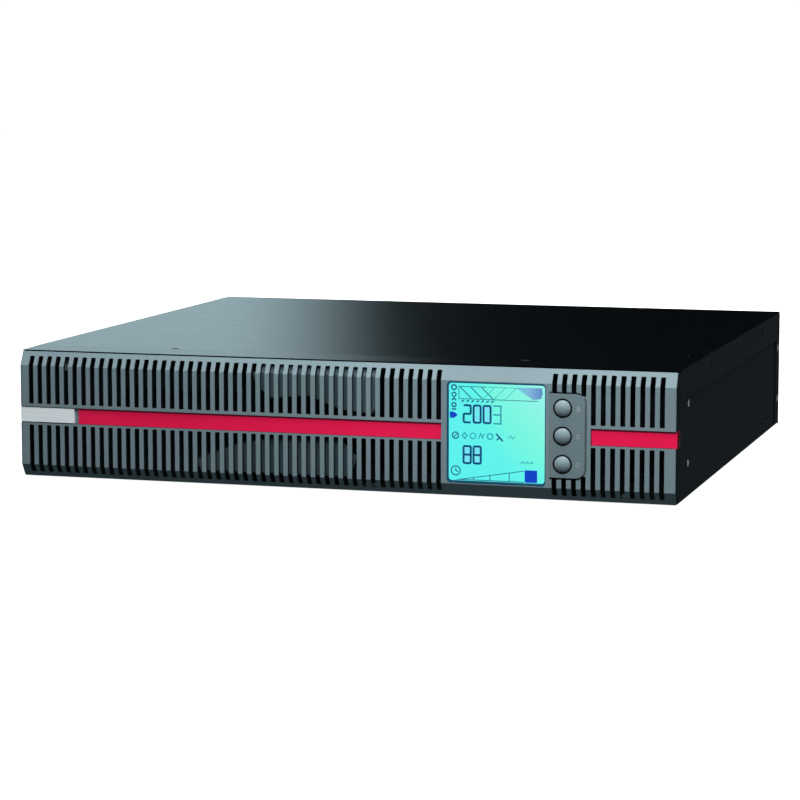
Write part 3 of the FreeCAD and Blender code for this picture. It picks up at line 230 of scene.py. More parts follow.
def colour_ramp(tree, fac, stops, interpolation="LINEAR"):
    ramp = tree.nodes.new("ShaderNodeValToRGB")
    ramp.color_ramp.interpolation = interpolation
    elements = ramp.color_ramp.elements
    while len(elements) > 1:
        elements.remove(elements[-1])
    elements[0].position, elements[0].color = stops[0]
    for place, colour in stops[1:]:
        elements.new(place).color = colour
    tree.links.new(fac, ramp.inputs["Fac"])
    return ramp.outputs["Color"]


def mix_colour(tree, socket, share, first, second):
    """Links first to the socket, mixed by share with the plain colour second."""
    mix = tree.nodes.new("ShaderNodeMix")
    mix.data_type = "RGBA"
    tree.links.new(share, mix.inputs["Factor"])
    tree.links.new(first, mix.inputs["A"])
    mix.inputs["B"].default_value = second
    tree.links.new(mix.outputs["Result"], socket)


def noise_node(tree, scale, detail=2.0, stretch=(1, 1, 1)):
    """Noise in the object's own metres; a stretch below 1 draws it out along that axis."""
    coordinates = tree.nodes.new("ShaderNodeTexCoord")
    mapping = tree.nodes.new("ShaderNodeMapping")
    mapping.inputs["Scale"].default_value = stretch
    tree.links.new(coordinates.outputs["Object"], mapping.inputs["Vector"])
    noise = tree.nodes.new("ShaderNodeTexNoise")
    noise.inputs["Scale"].default_value = scale
    noise.inputs["Detail"].default_value = detail
    tree.links.new(mapping.outputs["Vector"], noise.inputs["Vector"])
    return noise.outputs["Fac"]


def pattern_node(tree, kind, scale):
    """A procedural pattern other than noise, in the object's own metres."""
    pattern = tree.nodes.new(kind)
    pattern.inputs["Scale"].default_value = scale
    coordinates = tree.nodes.new("ShaderNodeTexCoord")
    tree.links.new(coordinates.outputs["Object"], pattern.inputs["Vector"])
    return pattern


def vary_colour(tree, shader, fac, low, high, start=NOISE_LOW, end=NOISE_HIGH):
    tree.links.new(colour_ramp(tree, fac, ((start, low), (end, high))), shader.inputs["Base Color"])


def vary_roughness(tree, shader, fac, low, high):
    roughness = map_range(tree, fac, (NOISE_LOW, NOISE_HIGH), (low, high))
    tree.links.new(roughness, shader.inputs["Roughness"])


def bump(tree, shader, fac, height):
    """Bump whose full relief is height, in metres."""
    node = tree.nodes.new("ShaderNodeBump")
    node.inputs["Strength"].default_value = 1.0
    node.inputs["Distance"].default_value = height
    tree.links.new(fac, node.inputs["Height"])
    tree.links.new(node.outputs["Normal"], shader.inputs["Normal"])


def light_up(tree, shader, colour, strength):
    tree.links.new(colour, shader.inputs["Emission Color"])
    shader.inputs["Emission Strength"].default_value = strength


# ---------------------------------------------------------------- materials

METALLIC = 0.6                          # plated metal keeps a little of its own grey in a dark room
FACING = 0.6                            # part of a normal from which a face counts as turned that way
PAINTED_EDGE = 2.0 * MM                 # of the bezel's height, at its foot and head
UNLIT_INK = srgb(6, 10, 12)


def painted_steel(name, colour, high, roughness, grain_height):
    """Satin paint on sheet steel: a fine orange peel and a slight unevenness of gloss."""
    mat, tree, shader = shaded(name, colour, roughness)
    vary_colour(tree, shader, noise_node(tree, 9.0, 3.0), colour, high)
    vary_roughness(tree, shader, noise_node(tree, 90.0, 4.0), roughness - 0.006, roughness + 0.012)
    bump(tree, shader, noise_node(tree, 1500.0), grain_height)
    return mat


def painted_bezel(name):
    """Grey paint with painted shade: the walls of the slots, their ends, the outer sides and the inside turn
    dark where shade falls.
    """
    mat = moulded_plastic(name, srgb(112, 130, 136), srgb(120, 138, 144), 0.46)
    tree = mat.node_tree
    normal = split_coordinates(tree, "Normal")
    height = split_coordinates(tree, "Object")["Z"]
    shaded_side = math_node(tree, "GREATER_THAN", math_node(tree, "ABSOLUTE", normal["X"]), FACING)
    level = math_node(tree, "GREATER_THAN", math_node(tree, "ABSOLUTE", normal["Z"]), FACING)
    above = math_node(tree, "GREATER_THAN", height, BEZEL_LOW[2] + PAINTED_EDGE)
    below = math_node(tree, "LESS_THAN", height, BEZEL_HIGH[2] - PAINTED_EDGE)
    shaded_slot_end = math_node(tree, "MULTIPLY", level, math_node(tree, "MULTIPLY", above, below))
    inside = math_node(tree, "GREATER_THAN", normal["Y"], 0.3)
    painted_shade_mask = math_node(tree, "MAXIMUM", math_node(tree, "MAXIMUM", shaded_side, shaded_slot_end), inside)
    # painted shade: slot walls, slot ends, outer sides and inside get a dark grey instead of the paint
    recolour(tree, painted_shade_mask, srgb(24, 30, 33))
    return mat


def stripe_red(name):
    """Glossy red film; its return on the side of the bezel is darkened to a deep red, painted shade."""
    mat = moulded_plastic(name, srgb(238, 24, 76), srgb(244, 28, 82), 0.38)
    tree = mat.node_tree
    shaded_side = math_node(tree, "GREATER_THAN", split_coordinates(tree, "Normal")["X"], FACING)
    # painted shade: the film's return on the side is coloured a deep red
    recolour(tree, shaded_side, srgb(104, 4, 30))
    return mat


def recolour(tree, share, colour):
    """Changes a finished material's base colour where share is 1."""
    socket = tree.nodes["Principled BSDF"].inputs["Base Color"]
    mix_colour(tree, socket, share, socket.links[0].from_socket, colour)


def moulded_plastic(name, colour, high, roughness, grain_scale=2600.0, grain_height=0.00001):
    mat, tree, shader = shaded(name, colour, roughness)
    vary_colour(tree, shader, noise_node(tree, 14.0, 3.0), colour, high)
    vary_roughness(tree, shader, noise_node(tree, 60.0, 3.0), roughness - 0.03, roughness + 0.04)
    bump(tree, shader, noise_node(tree, grain_scale, 1.5), grain_height)
    return mat


def metal(name, colour, high, roughness, scale=200.0, stretch=(1, 1, 1), relief=0.000004):
    mat, tree, shader = shaded(name, colour, roughness, metallic=METALLIC)
    streaks = noise_node(tree, scale, 4.0, stretch)
    vary_colour(tree, shader, streaks, colour, high)
    vary_roughness(tree, shader, streaks, roughness - 0.05, roughness + 0.08)
    bump(tree, shader, streaks, relief)
    return mat


def brushed_plate(name):
    """Silver lacquer over a plate brushed along its length."""
    mat, tree, shader = shaded(name, srgb(206, 217, 221), 0.4, metallic=0.05)
    streaks = noise_node(tree, 900.0, 3.0, (0.03, 1, 1))
    vary_colour(tree, shader, streaks, srgb(240, 248, 251), srgb(252, 255, 255))
    vary_roughness(tree, shader, streaks, 0.34, 0.46)
    bump(tree, shader, streaks, 0.000006)
    return mat


def zinc_plate(name):
    """Zinc-plated sheet with its faint crystals."""
    mat, tree, shader = shaded(name, srgb(150, 156, 160), 0.38, metallic=METALLIC)
    cells = pattern_node(tree, "ShaderNodeTexVoronoi", 140.0)
    split = tree.nodes.new("ShaderNodeSeparateColor")
    tree.links.new(cells.outputs["Color"], split.inputs[0])
    vary_colour(tree, shader, split.outputs[0], srgb(128, 134, 139), srgb(164, 170, 175), 0.0, 1.0)
    vary_roughness(tree, shader, split.outputs[1], 0.32, 0.46)
    return mat


def clear_window(name):
    mat, tree, shader = shaded(name, (0.96, 1.0, 1.0, 1.0), 0.02)
    shader.inputs["Transmission Weight"].default_value = 1.0
    shader.inputs["IOR"].default_value = 1.45
    vary_roughness(tree, shader, noise_node(tree, 40.0), 0.01, 0.035)
    return mat


def lit_display(name):
    """The lit cell: bluer at the left and bottom, paler towards the upper right, dark at its sides."""
    mat, tree, shader = shaded(name, srgb(10, 30, 30), 0.35)
    low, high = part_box("display_panel")
    place = split_coordinates(tree, "Object")
    across = map_range(tree, place["X"], (low[0], high[0]))
    upward = map_range(tree, place["Z"], (low[2], high[2]))
    corner = math_node(tree, "MULTIPLY", across, math_node(tree, "ADD", upward, 0.4))
    stops = (
        (0.0, srgb(97, 247, 245)),
        (0.3, srgb(101, 250, 241)),
        (0.5, srgb(122, 253, 230)),
        (0.7, srgb(134, 253, 230)),
        (1.0, srgb(156, 250, 238)),
    )
    colour = colour_ramp(tree, map_range(tree, corner, (0.0, 1.2)), stops)
    turned_away = math_node(tree, "GREATER_THAN", split_coordinates(tree, "Normal")["Y"], -0.5)
    mix_colour(tree, shader.inputs["Emission Color"], turned_away, colour, BLACK)
    shader.inputs["Emission Strength"].default_value = 1.0
    return mat


def display_ink(name, colour, high, glow=1.0):
    """A segment of the display, lit from behind: nearly all of its colour is glow."""
    mat, tree, shader = shaded(name, UNLIT_INK, 0.5)
    stops = ((NOISE_LOW, colour), (NOISE_HIGH, high))
    light_up(tree, shader, colour_ramp(tree, noise_node(tree, 700.0), stops), glow)
    return mat


def violet_wedge(name, low, high):
    """Fades from violet at the right to the display's own colour at the left."""
    mat, tree, shader = shaded(name, UNLIT_INK, 0.5)
    across = map_range(tree, split_coordinates(tree, "Object")["X"], (low, high))
    stops = ((0.0, srgb(128, 226, 240)), (0.5, srgb(140, 196, 236)), (1.0, srgb(104, 146, 212)))
    light_up(tree, shader, colour_ramp(tree, across, stops), 0.9)
    return mat


def circuit_board(name):
    """Solder mask with a faint grid of tracks."""
    mat, tree, shader = shaded(name, srgb(16, 70, 42), 0.4)
    cells = pattern_node(tree, "ShaderNodeTexBrick", 110.0)
    cells.inputs["Color1"].default_value = srgb(14, 64, 38)
    cells.inputs["Color2"].default_value = srgb(20, 82, 50)
    cells.inputs["Mortar"].default_value = srgb(34, 104, 66)
    tree.links.new(cells.outputs["Color"], shader.inputs["Base Color"])
    vary_roughness(tree, shader, noise_node(tree, 200.0), 0.3, 0.5)
    return mat


def copper_winding(name):
    """Enamelled wire, turn beside turn."""
    mat, tree, shader = shaded(name, srgb(150, 78, 34), 0.35, metallic=0.8)
    turns = pattern_node(tree, "ShaderNodeTexWave", 180.0).outputs["Fac"]
    vary_colour(tree, shader, turns, srgb(96, 44, 18), srgb(196, 112, 54), 0.1, 0.9)
    bump(tree, shader, turns, 0.0003)
    return mat


def make_materials():
    return {
        "cover": painted_steel("cover_black", srgb(1, 3, 4), srgb(3, 4, 5), 0.175, 0.000004),
        "case": painted_steel("case_black", srgb(22, 26, 28), srgb(26, 30, 32), 0.34, 0.000006),
        "panel": painted_steel("panel_black", srgb(30, 33, 35), srgb(36, 39, 41), 0.42, 0.00001),
        "bezel": painted_bezel("bezel_grey"),
        "keypad": moulded_plastic("keypad_grey", srgb(104, 122, 128), srgb(110, 128, 134), 0.5),
        "button": moulded_plastic("button_grey", srgb(124, 142, 149), srgb(130, 148, 155), 0.42),
        "red": stripe_red("stripe_red"),
        "silver": brushed_plate("plate_silver"),
        "zinc": zinc_plate("zinc_steel"),
        "black_plastic": moulded_plastic("socket_black", srgb(24, 25, 27), srgb(30, 31, 33), 0.45),
        "fan": moulded_plastic("fan_black", srgb(22, 23, 24), srgb(28, 29, 31), 0.5),
        "grey_plastic": moulded_plastic("connector_grey", srgb(112, 116, 120), srgb(122, 126, 130), 0.5),
        "green_plastic": moulded_plastic("terminal_green", srgb(40, 130, 74), srgb(48, 142, 84), 0.45),
        "blue_plastic": moulded_plastic("relay_blue", srgb(38, 92, 170), srgb(46, 104, 184), 0.35),
        "sleeve": moulded_plastic("capacitor_blue", srgb(28, 36, 84), srgb(34, 44, 98), 0.3),
        "battery": moulded_plastic("battery_case", srgb(58, 60, 64), srgb(66, 68, 72), 0.5, 900.0, 0.00003),
        "wire_red": moulded_plastic("lead_red", srgb(170, 24, 22), srgb(184, 30, 28), 0.45),
        "ribbon": moulded_plastic("ribbon_grey", srgb(170, 172, 174), srgb(182, 184, 186), 0.5),
        "ferrite": moulded_plastic("core_grey", srgb(46, 46, 48), srgb(56, 56, 58), 0.6, 600.0, 0.00004),
        "brass": metal("brass_contact", srgb(206, 172, 96), srgb(220, 190, 120), 0.28),
        "screw": metal("screw_steel", srgb(186, 190, 194), srgb(204, 207, 210), 0.25),
        "dark_screw": metal("screw_black", srgb(70, 74, 78), srgb(92, 96, 100), 0.35),
        "alloy": metal("heatsink_alloy", srgb(172, 175, 180), srgb(190, 193, 197), 0.4, 150.0, (1, 0.05, 1)),
        # black for the cover screws; the same dark colour paints the shade of the screw recesses and the
        # button gaps
        "recess": moulded_plastic("black_and_painted_shade", srgb(12, 13, 14), srgb(16, 17, 18), 0.85),
        "print": moulded_plastic("print_pale", srgb(156, 168, 172), srgb(166, 178, 182), 0.5),
        "window": clear_window("window_clear"),
        "display": lit_display("lcd_cyan"),
        "ink": display_ink("ink_dark", srgb(0, 66, 118), srgb(4, 76, 130)),
        "ghost": display_ink("ink_faint", srgb(30, 150, 176), srgb(40, 160, 184)),
        "lilac": display_ink("ink_lilac", srgb(120, 232, 246), srgb(128, 236, 250)),
        "square": display_ink("ink_blue", srgb(8, 60, 198), srgb(14, 68, 208)),
        "border": display_ink("border_blue", srgb(16, 76, 108), srgb(22, 88, 122), 0.8),
        "board": circuit_board("board_green"),
        "screen": moulded_plastic("screen_grey", srgb(46, 62, 68), srgb(74, 94, 102), 0.6, 300.0),
        "black_board": moulded_plastic("board_black", srgb(12, 14, 16), srgb(18, 20, 22), 0.5),
        "bright_screw": moulded_plastic("screw_bright", srgb(196, 204, 206), srgb(208, 216, 218), 0.35),
        "copper": copper_winding("winding_copper"),
    }


NODE_MATERIAL = {
    "cover": ("top_cover",),
    "panel": ("rear_panel", "accessory_slot_cover"),
    "bezel": ("bezel_shell",),
    "keypad": ("keypad_plate",),
    "button": BUTTONS,
    "red": ("red_stripe_left", "red_stripe_right"),
    "silver": ("name_plate",),
    "case": ("chassis_base", "front_frame", "battery_tray"),
    "zinc": ("battery_bay_divider", "serial_port", "usb_port"),
    "black_plastic": (
        "outlet_block_lower",
        "outlet_block_upper",
        "inlet_socket",
        "circuit_breaker",
        "surge_jacks",
        "power_transistors",
        "tact_switches",
    ),
    "fan": ("fan_frame_left", "fan_frame_right", "fan_rotor_left", "fan_rotor_right"),
    "grey_plastic": ("breaker_button", "battery_socket", "battery_plug", "display_socket"),
    "green_plastic": ("emergency_off_terminal",),
    "blue_plastic": ("relays",),
    "sleeve": ("bulk_capacitors",),
    "battery": ("batteries",),
    "wire_red": ("battery_leads", "battery_links"),
    "ribbon": ("display_cable",),
    "ferrite": ("transformer_core",),
    "brass": ("outlet_contacts", "inlet_pins", "board_standoffs"),
    "screw": (
        "accessory_slot_thumbscrews",
        "ground_screw",
        "fan_guards",
        "display_board_screws",
        "tray_thumbscrews",
    ),
    "recess": ("cover_screws",),
    "dark_screw": ("fan_screws",),
    "bright_screw": ("side_screws",),
    "alloy": ("heatsinks",),
    "window": ("display_window",),
    "display": ("display_panel",),
    "board": ("main_board", "control_board", "comms_board"),
    "black_board": ("display_board",),
    "copper": ("toroid_chokes", "transformer_winding"),
}


def dress_nodes(made):
    for key, names in NODE_MATERIAL.items():
        for name in names:
            node = nodes[name]
            node.data.materials.clear()
            node.data.materials.append(made[key])


# Pieces with rounded edges, and how wide the rounding is in millimetres.
SOFT_EDGES = (
    ("bezel_shell", 0.15),
    ("keypad_plate", 0.2),
    ("battery_tray", 0.2),
    ("rear_panel", 0.15),
    ("outlet_block_lower", 0.3),
    ("outlet_block_upper", 0.3),
    ("inlet_socket", 0.3),
    ("accessory_slot_cover", 0.2),
    ("fan_frame_left", 0.3),
    ("fan_frame_right", 0.3),
)
SHARP_ANGLE = 35                        # degrees between two faces from which their edge is rounded


def soften_edges():
    """A small rounding on the edges of moulded and folded pieces."""
    for name, width in SOFT_EDGES:
        bevel = nodes[name].modifiers.new("edge", "BEVEL")
        bevel.width = width * MM
        bevel.segments = 2
        bevel.limit_method = "ANGLE"
        bevel.angle_limit = math.radians(SHARP_ANGLE)


# ---------------------------------------------------------------- flat shapes in the plane of the face


class Sheet:
    """Collects flat shapes, drawn in millimetres across and up, and makes one thin piece of them."""

    def __init__(self, origin_x, origin_z):
        self.origin = (origin_x, origin_z)
        self.outlines = []
        self.bands = []

    def shape(self, points):
        self.outlines.append(points)

    def bar(self, left, low, right, high):
        self.shape([(left, low), (right, low), (right, high), (left, high)])

    def band(self, first, second, closed=False):
        """The strip between two lines that run side by side."""
        self.bands.append((first, second, closed))

    def path(self, points, width, closed=False):
        """A line of the given width with mitred corners."""
        self.band(offset_line(points, width / 2, closed), offset_line(points, -width / 2, closed), closed)

    def stroke(self, start, end, width):
        self.path([start, end], width)

    def ring(self, centre, radius, width, start=0.0, sweep=360.0, steps=28):
        closed = sweep == 360.0
        count = steps if closed else steps + 1
        angles = [math.radians(start + sweep * step / steps) for step in range(count)]
        self.path([polar(centre, radius, angle) for angle in angles], width, closed)

    def build(self, name, front, rear, material, body):
        mesh = bmesh.new()
        for points in self.outlines:
            add_prism(mesh, self.placed(points), front, rear)
        for first, second, closed in self.bands:
            add_band(mesh, self.placed(first), self.placed(second), front, rear, closed)
        finish_mesh(name, mesh, material, body)

    def placed(self, points):
        return [(self.origin[0] + x * MM, self.origin[1] + z * MM) for x, z in points]


def polar(centre, radius, angle):
    return (centre[0] + radius * math.cos(angle), centre[1] + radius * math.sin(angle))


def offset_line(points, distance, closed):
    """The line that runs beside points at the given distance, its corners mitred."""
    count = len(points)
    moved = []
    for index, (x, z) in enumerate(points):
        normals = []
        if closed or index > 0:
            normals.append(unit_normal(points[index - 1], (x, z)))
        if closed or index < count - 1:
            normals.append(unit_normal((x, z), points[(index + 1) % count]))
        across = sum(normal[0] for normal in normals)
        upward = sum(normal[1] for normal in normals)
        stretch = distance * len(normals) / (across * across + upward * upward)
        moved.append((x + across * stretch, z + upward * stretch))
    return moved


def unit_normal(start, end):
    length = math.dist(start, end)
    return ((start[1] - end[1]) / length, (end[0] - start[0]) / length)


def add_prism(mesh, outline, front, rear):
    near = [mesh.verts.new((x, front, z)) for x, z in outline]
    far = [mesh.verts.new((x, rear, z)) for x, z in outline]
    mesh.faces.new(near)
    mesh.faces.new(list(reversed(far)))
    join_lines(mesh, near, far, True)


def add_band(mesh, first, second, front, rear, closed):
    lines = []
    for outline, depth in ((first, front), (second, front), (second, rear), (first, rear)):
        lines.append([mesh.verts.new((x, depth, z)) for x, z in outline])
    for index in range(4):
        join_lines(mesh, lines[index], lines[(index + 1) % 4], closed)
    if not closed:
        for end in (0, -1):
            mesh.faces.new([line[end] for line in lines])


def join_lines(mesh, first, second, closed):
    """Faces between two lines of vertices."""
    count = len(first)
    for index in range(count if closed else count - 1):
        following = (index + 1) % count
        mesh.faces.new((first[index], second[index], second[following], first[following]))


def finish_mesh(name, mesh, material, body):
    bmesh.ops.recalc_face_normals(mesh, faces=mesh.faces)
    data = bpy.data.meshes.new(name)
    mesh.to_mesh(data)
    mesh.free()
    data.materials.append(material)
    piece = bpy.data.objects.new(name, data)
    scene.collection.objects.link(piece)
    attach(piece, body)


def rounded_outline(left, low, right, high, radius, steps=6):
    """The points of a rounded rectangle, anticlockwise."""
    points = []
    corners = ((right - radius, low + radius, -90), (right - radius, high - radius, 0))
    corners += ((left + radius, high - radius, 90), (left + radius, low + radius, 180))
    for x, z, start in corners:
        for step in range(steps + 1):
            points.append(polar((x, z), radius, math.radians(start + 90 * step / steps)))
    return points


def rounded_corners(points, radius, steps=3):
    """An open line through points, each inner corner cut back and rounded."""
    rounded = [points[0]]
    for before, corner, after in zip(points, points[1:], points[2:]):
        entry = toward(corner, before, radius)
        leave = toward(corner, after, radius)
        for step in range(steps + 1):
            share = step / steps
            near = blend(entry, corner, share)
            rounded.append(blend(near, blend(corner, leave, share), share))
    rounded.append(points[-1])
    return rounded


def toward(start, end, distance):
    return blend(start, end, distance / math.dist(start, end))


def blend(first, second, share):
    return tuple(a + (b - a) * share for a, b in zip(first, second))


# ---------------------------------------------------------------- display
# Places on a sheet are in millimetres, across and up from the lower left corner of the marks.

WINDOW_LOW, WINDOW_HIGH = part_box("display_window")
PANEL_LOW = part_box("display_panel")[0]
MARKS_INSET = 0.65                      # from the window's corner to the corner of the marks
BORDER_SIDE = 0.8
BORDER_FOOT = 1.4
BORDER_HEAD = 1.1
BORDER_BEHIND = (0.03, 0.16)            # front and rear of the border, behind the window
INK_REAR = PANEL_LOW[1] - 0.02 * MM
INK_FRONT = PANEL_LOW[1] - 0.12 * MM
STROKE = 1.3
DIGIT_CORNER = 0.9
GLOW_GAP = 0.05                         # between a figure's bars and the pale glow inside it
SIGNS_LEVEL = 29.3                      # middle of the row of small signs
CLOCK = (4.7, 6.9)
WEDGE_LEFT, WEDGE_RIGHT, WEDGE_FOOT, WEDGE_RISE = 7.0, 48.9, 1.3, 7.0
VIOLET_LEFT, VIOLET_RIGHT = 43.0, 60.6
# left, low, width, height and pitch of each row of figures
UPPER_DIGITS = (9.1, 37.1, 5.85, 12.1, 6.45)
LOWER_DIGITS = (9.1, 11.2, 6.0, 12.1, 6.5)


def window_sheet():
    return Sheet(WINDOW_LOW[0] + MARKS_INSET * MM, WINDOW_LOW[2] + MARKS_INSET * MM)


def draw_digit(sheet, digit, left, low, width, height, thick):
    """A seven-bar figure, drawn as joined bars with rounded corners."""
    half = thick / 2
    west, east = left + half, left + width - half
    foot, middle, head = low + half, low + height / 2, low + height - half
    if digit == "2":
        points = [(west, head), (east, head), (east, middle), (west, middle), (west, foot), (east, foot)]
        sheet.path(rounded_corners(points, DIGIT_CORNER), thick)
        return
    if digit == "3":
        for level in (head, middle, foot):
            sheet.stroke((west, level), (east - half, level), thick)
        sheet.stroke((east, foot - half), (east, head + half), thick)
        return
    sheet.path(rounded_outline(west, foot, east, head, DIGIT_CORNER, 3), thick, closed=True)
    if digit == "8":
        sheet.stroke((west + half, middle), (east - half, middle), thick)


def digit_fill(sheet, left, low, width, height, thick):
    """The pale glow inside a figure, above and below its middle bar."""
    west, east = left + thick + GLOW_GAP, left + width - thick - GLOW_GAP
    middle = low + height / 2
    sheet.bar(west, low + thick + GLOW_GAP, east, middle - thick / 2 - GLOW_GAP)
    sheet.bar(west, middle + thick / 2 + GLOW_GAP, east, low + height - thick - GLOW_GAP)


def dark_display_marks(made):
    sheet = window_sheet()
    left, low, width, height, pitch = UPPER_DIGITS
    for step, digit in enumerate("200"):
        draw_digit(sheet, digit, left + pitch * step, low, width, height, STROKE)
    left, low, width, height, pitch = LOWER_DIGITS
    for step in range(2):
        draw_digit(sheet, "8", left + pitch * step, low, width, height, STROKE)
    # a source block with a slanted filling, and its base line
    sheet.path([(24.6, 60.4), (6.6, 60.4), (6.6, 52.6), (57.6, 52.6)], 0.4)
    for start in (7.4, 14.4, 21.4):
        sheet.stroke((start, 60.0), (start + 7.4, 53.0), 0.55)
    for step in range(7):
        sheet.stroke((8.4 + 3.2 * step, 50.7), (10.0 + 3.2 * step, 51.9), 0.8)
    # a load wedge with its dividers
    peak = (WEDGE_RIGHT, WEDGE_FOOT + WEDGE_RISE)
    sheet.path([peak, (WEDGE_LEFT, WEDGE_FOOT), (WEDGE_RIGHT, WEDGE_FOOT)], 0.45)
    for place in (16.4, 26.9, 39.4):
        rise = (place - WEDGE_LEFT) / (WEDGE_RIGHT - WEDGE_LEFT) * WEDGE_RISE
        sheet.stroke((place, WEDGE_FOOT + 0.3), (place, WEDGE_FOOT - 0.3 + rise), 0.5)
    # a clock
    sheet.ring(CLOCK, 2.9, 0.65)
    sheet.path([(CLOCK[0], 8.7), CLOCK, (6.2, 6.0)], 0.6)
    # the column of small signs at the left
    sheet.ring((3.4, 59.7), 1.5, 0.8)
    sheet.ring((3.4, 55.2), 1.3, 0.7)
    sheet.path([(2.0, 51.4), (3.4, 53.0), (4.8, 51.4)], 0.8)
    sheet.ring((3.4, 48.6), 1.3, 0.8)
    sheet.stroke((1.9, 45.9), (4.9, 45.9), 0.8)
    # the row of small signs between the figures
    sheet.ring((4.4, SIGNS_LEVEL), 2.0, 0.7)
    sheet.stroke((3.4, 28.3), (5.4, 30.3), 0.6)
    sheet.stroke((31.2, 27.2), (33.4, 29.2), 0.8)
    sheet.stroke((30.8, 31.2), (35.2, 26.6), 1.0)
    sheet.build("display_marks", INK_FRONT, INK_REAR, made["ink"], "bezel")


def faint_display_marks(made):
    sheet = window_sheet()
    left, low, width, height, pitch = UPPER_DIGITS
    draw_digit(sheet, "3", left + pitch * 3, low, width, height, 0.9)
    diamond = [(8.8, SIGNS_LEVEL), (10.4, 31.1), (12.0, SIGNS_LEVEL), (10.4, 27.5)]
    sheet.path(diamond, 0.7, closed=True)
    sheet.ring((15.8, SIGNS_LEVEL), 1.8, 0.6)
    sheet.path([(19.6, 27.5), (20.8, 31.0), (22.0, 28.2), (23.2, 31.0)], 0.6)
    sheet.ring((26.9, SIGNS_LEVEL), 1.8, 0.7)
    sheet.path([(38.4, 28.3), (40.0, 30.3), (41.6, 28.3), (43.2, 30.3)], 0.4)
    for step in range(3):
        sheet.stroke((29.4 + 7.0 * step, 60.0), (22.4 + 7.0 * step, 53.0), 0.3)
    sheet.stroke((25.6, 60.4), (45.0, 60.4), 0.3)
    for step in range(3):
        start = 46.8 + 3.0 * step
        sheet.path([(start, 13.0), (start + 1.2, 14.4), (start + 2.2, 13.0)], 0.5)
    sheet.build("display_faint_marks", INK_FRONT, INK_REAR, made["ghost"], "bezel")


def digit_glow(made):
    sheet = window_sheet()
    left, low, width, height, pitch = UPPER_DIGITS
    for step in (1, 2):
        digit_fill(sheet, left + pitch * step, low, width, height, STROKE)
    left, low, width, height, pitch = LOWER_DIGITS
    for step in range(2):
        digit_fill(sheet, left + pitch * step, low, width, height, STROKE)
    sheet.build("display_digit_glow", INK_FRONT, INK_REAR, made["lilac"], "bezel")


def blue_display_marks(made):
    sheet = window_sheet()
    sheet.bar(49.4, 1.1, 57.4, 8.9)
    sheet.shape([(0.7, 40.3), (3.4, 40.3), (5.9, 42.2), (3.4, 44.2), (0.7, 44.2)])
    sheet.build("display_blue_marks", INK_FRONT, INK_REAR, made["square"], "bezel")


def violet_mark():
    sheet = window_sheet()
    sheet.shape([(VIOLET_LEFT, 60.9), (54.6, 53.4), (59.6, 54.2), (VIOLET_RIGHT, 57.3), (60.2, 60.9)])
    low = sheet.origin[0] + VIOLET_LEFT * MM
    high = sheet.origin[0] + VIOLET_RIGHT * MM
    sheet.build("display_violet_mark", INK_FRONT, INK_REAR, violet_wedge("ink_violet", low, high), "bezel")


def window_border(made):
    """The printed border round the lit area, just behind the window."""
    wide = (WINDOW_HIGH[0] - WINDOW_LOW[0]) / MM
    high = (WINDOW_HIGH[2] - WINDOW_LOW[2]) / MM
    sheet = Sheet(WINDOW_LOW[0], WINDOW_LOW[2])
    outer = rounded_outline(0, 0, wide, high, 2.5)
    inner = rounded_outline(BORDER_SIDE, BORDER_FOOT, wide - BORDER_SIDE, high - BORDER_HEAD, 2.0)
    sheet.band(outer, inner, closed=True)
    front, rear = [WINDOW_HIGH[1] + depth * MM for depth in BORDER_BEHIND]
    sheet.build("window_border", front, rear, made["border"], "bezel")


# ---------------------------------------------------------------- keypad print

SIGN_INSET = 4.2 * MM                   # from the plate's right edge
SIGN_PROUD = 0.03 * MM                  # in front of the plate
SIGN_CLEAR = 0.002 * MM                 # between the sign's rear and the plate
SIGN_LINE = 0.35
# the dark ring round each button paints the shade in its gap
SHADE_RING_SUNK = 0.1 * MM                    # behind the plate's front
SHADE_RING_DEPTH = 0.6 * MM
SHADE_RING_WIDTH = 1.1                        # also how far its middle line lies inside the button's edge


def keypad_signs(made):
    """Three plain signs beside the buttons: an arrow, a list and the on and off sign."""
    low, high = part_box("keypad_plate")
    front, rear = low[1] - SIGN_PROUD, low[1] - SIGN_CLEAR
    for kind, name in zip(("arrow", "list", "power"), BUTTONS):
        box_low, box_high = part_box(name)
        sheet = Sheet(high[0] - SIGN_INSET, (box_low[2] + box_high[2]) / 2)
        if kind == "arrow":
            sheet.path([(-1.1, -0.6), (0.0, 1.4), (1.1, -0.6), (-1.1, -0.6)], SIGN_LINE)
            sheet.stroke((-1.1, -1.5), (1.1, -1.5), SIGN_LINE)
        elif kind == "list":
            for row in (-1.1, 0.0, 1.1):
                sheet.stroke((-1.2, row), (1.2, row), SIGN_LINE)
        else:
            sheet.ring((0, 0), 1.3, SIGN_LINE, 125, 290, 20)
            sheet.stroke((0, 0.2), (0, 1.9), SIGN_LINE)
        sheet.build("keypad_sign_" + kind, front, rear, made["print"], "bezel")


def button_rings(made):
    """A dark ring in the gap round each button's cap: painted shade of the gap."""
    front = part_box("keypad_plate")[0][1] + SHADE_RING_SUNK
    for name in BUTTONS:
        low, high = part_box(name)
        radius = (high[2] - low[2]) / 2 / MM
        sheet = Sheet((low[0] + high[0]) / 2, (low[2] + high[2]) / 2)
        sheet.ring((0, 0), radius - SHADE_RING_WIDTH, SHADE_RING_WIDTH, steps=48)
        sheet.build(name + "_painted_shade_ring", front, front + SHADE_RING_DEPTH, made["recess"], "bezel")


# ---------------------------------------------------------------- screw crosses in painted shade, and inner sheets

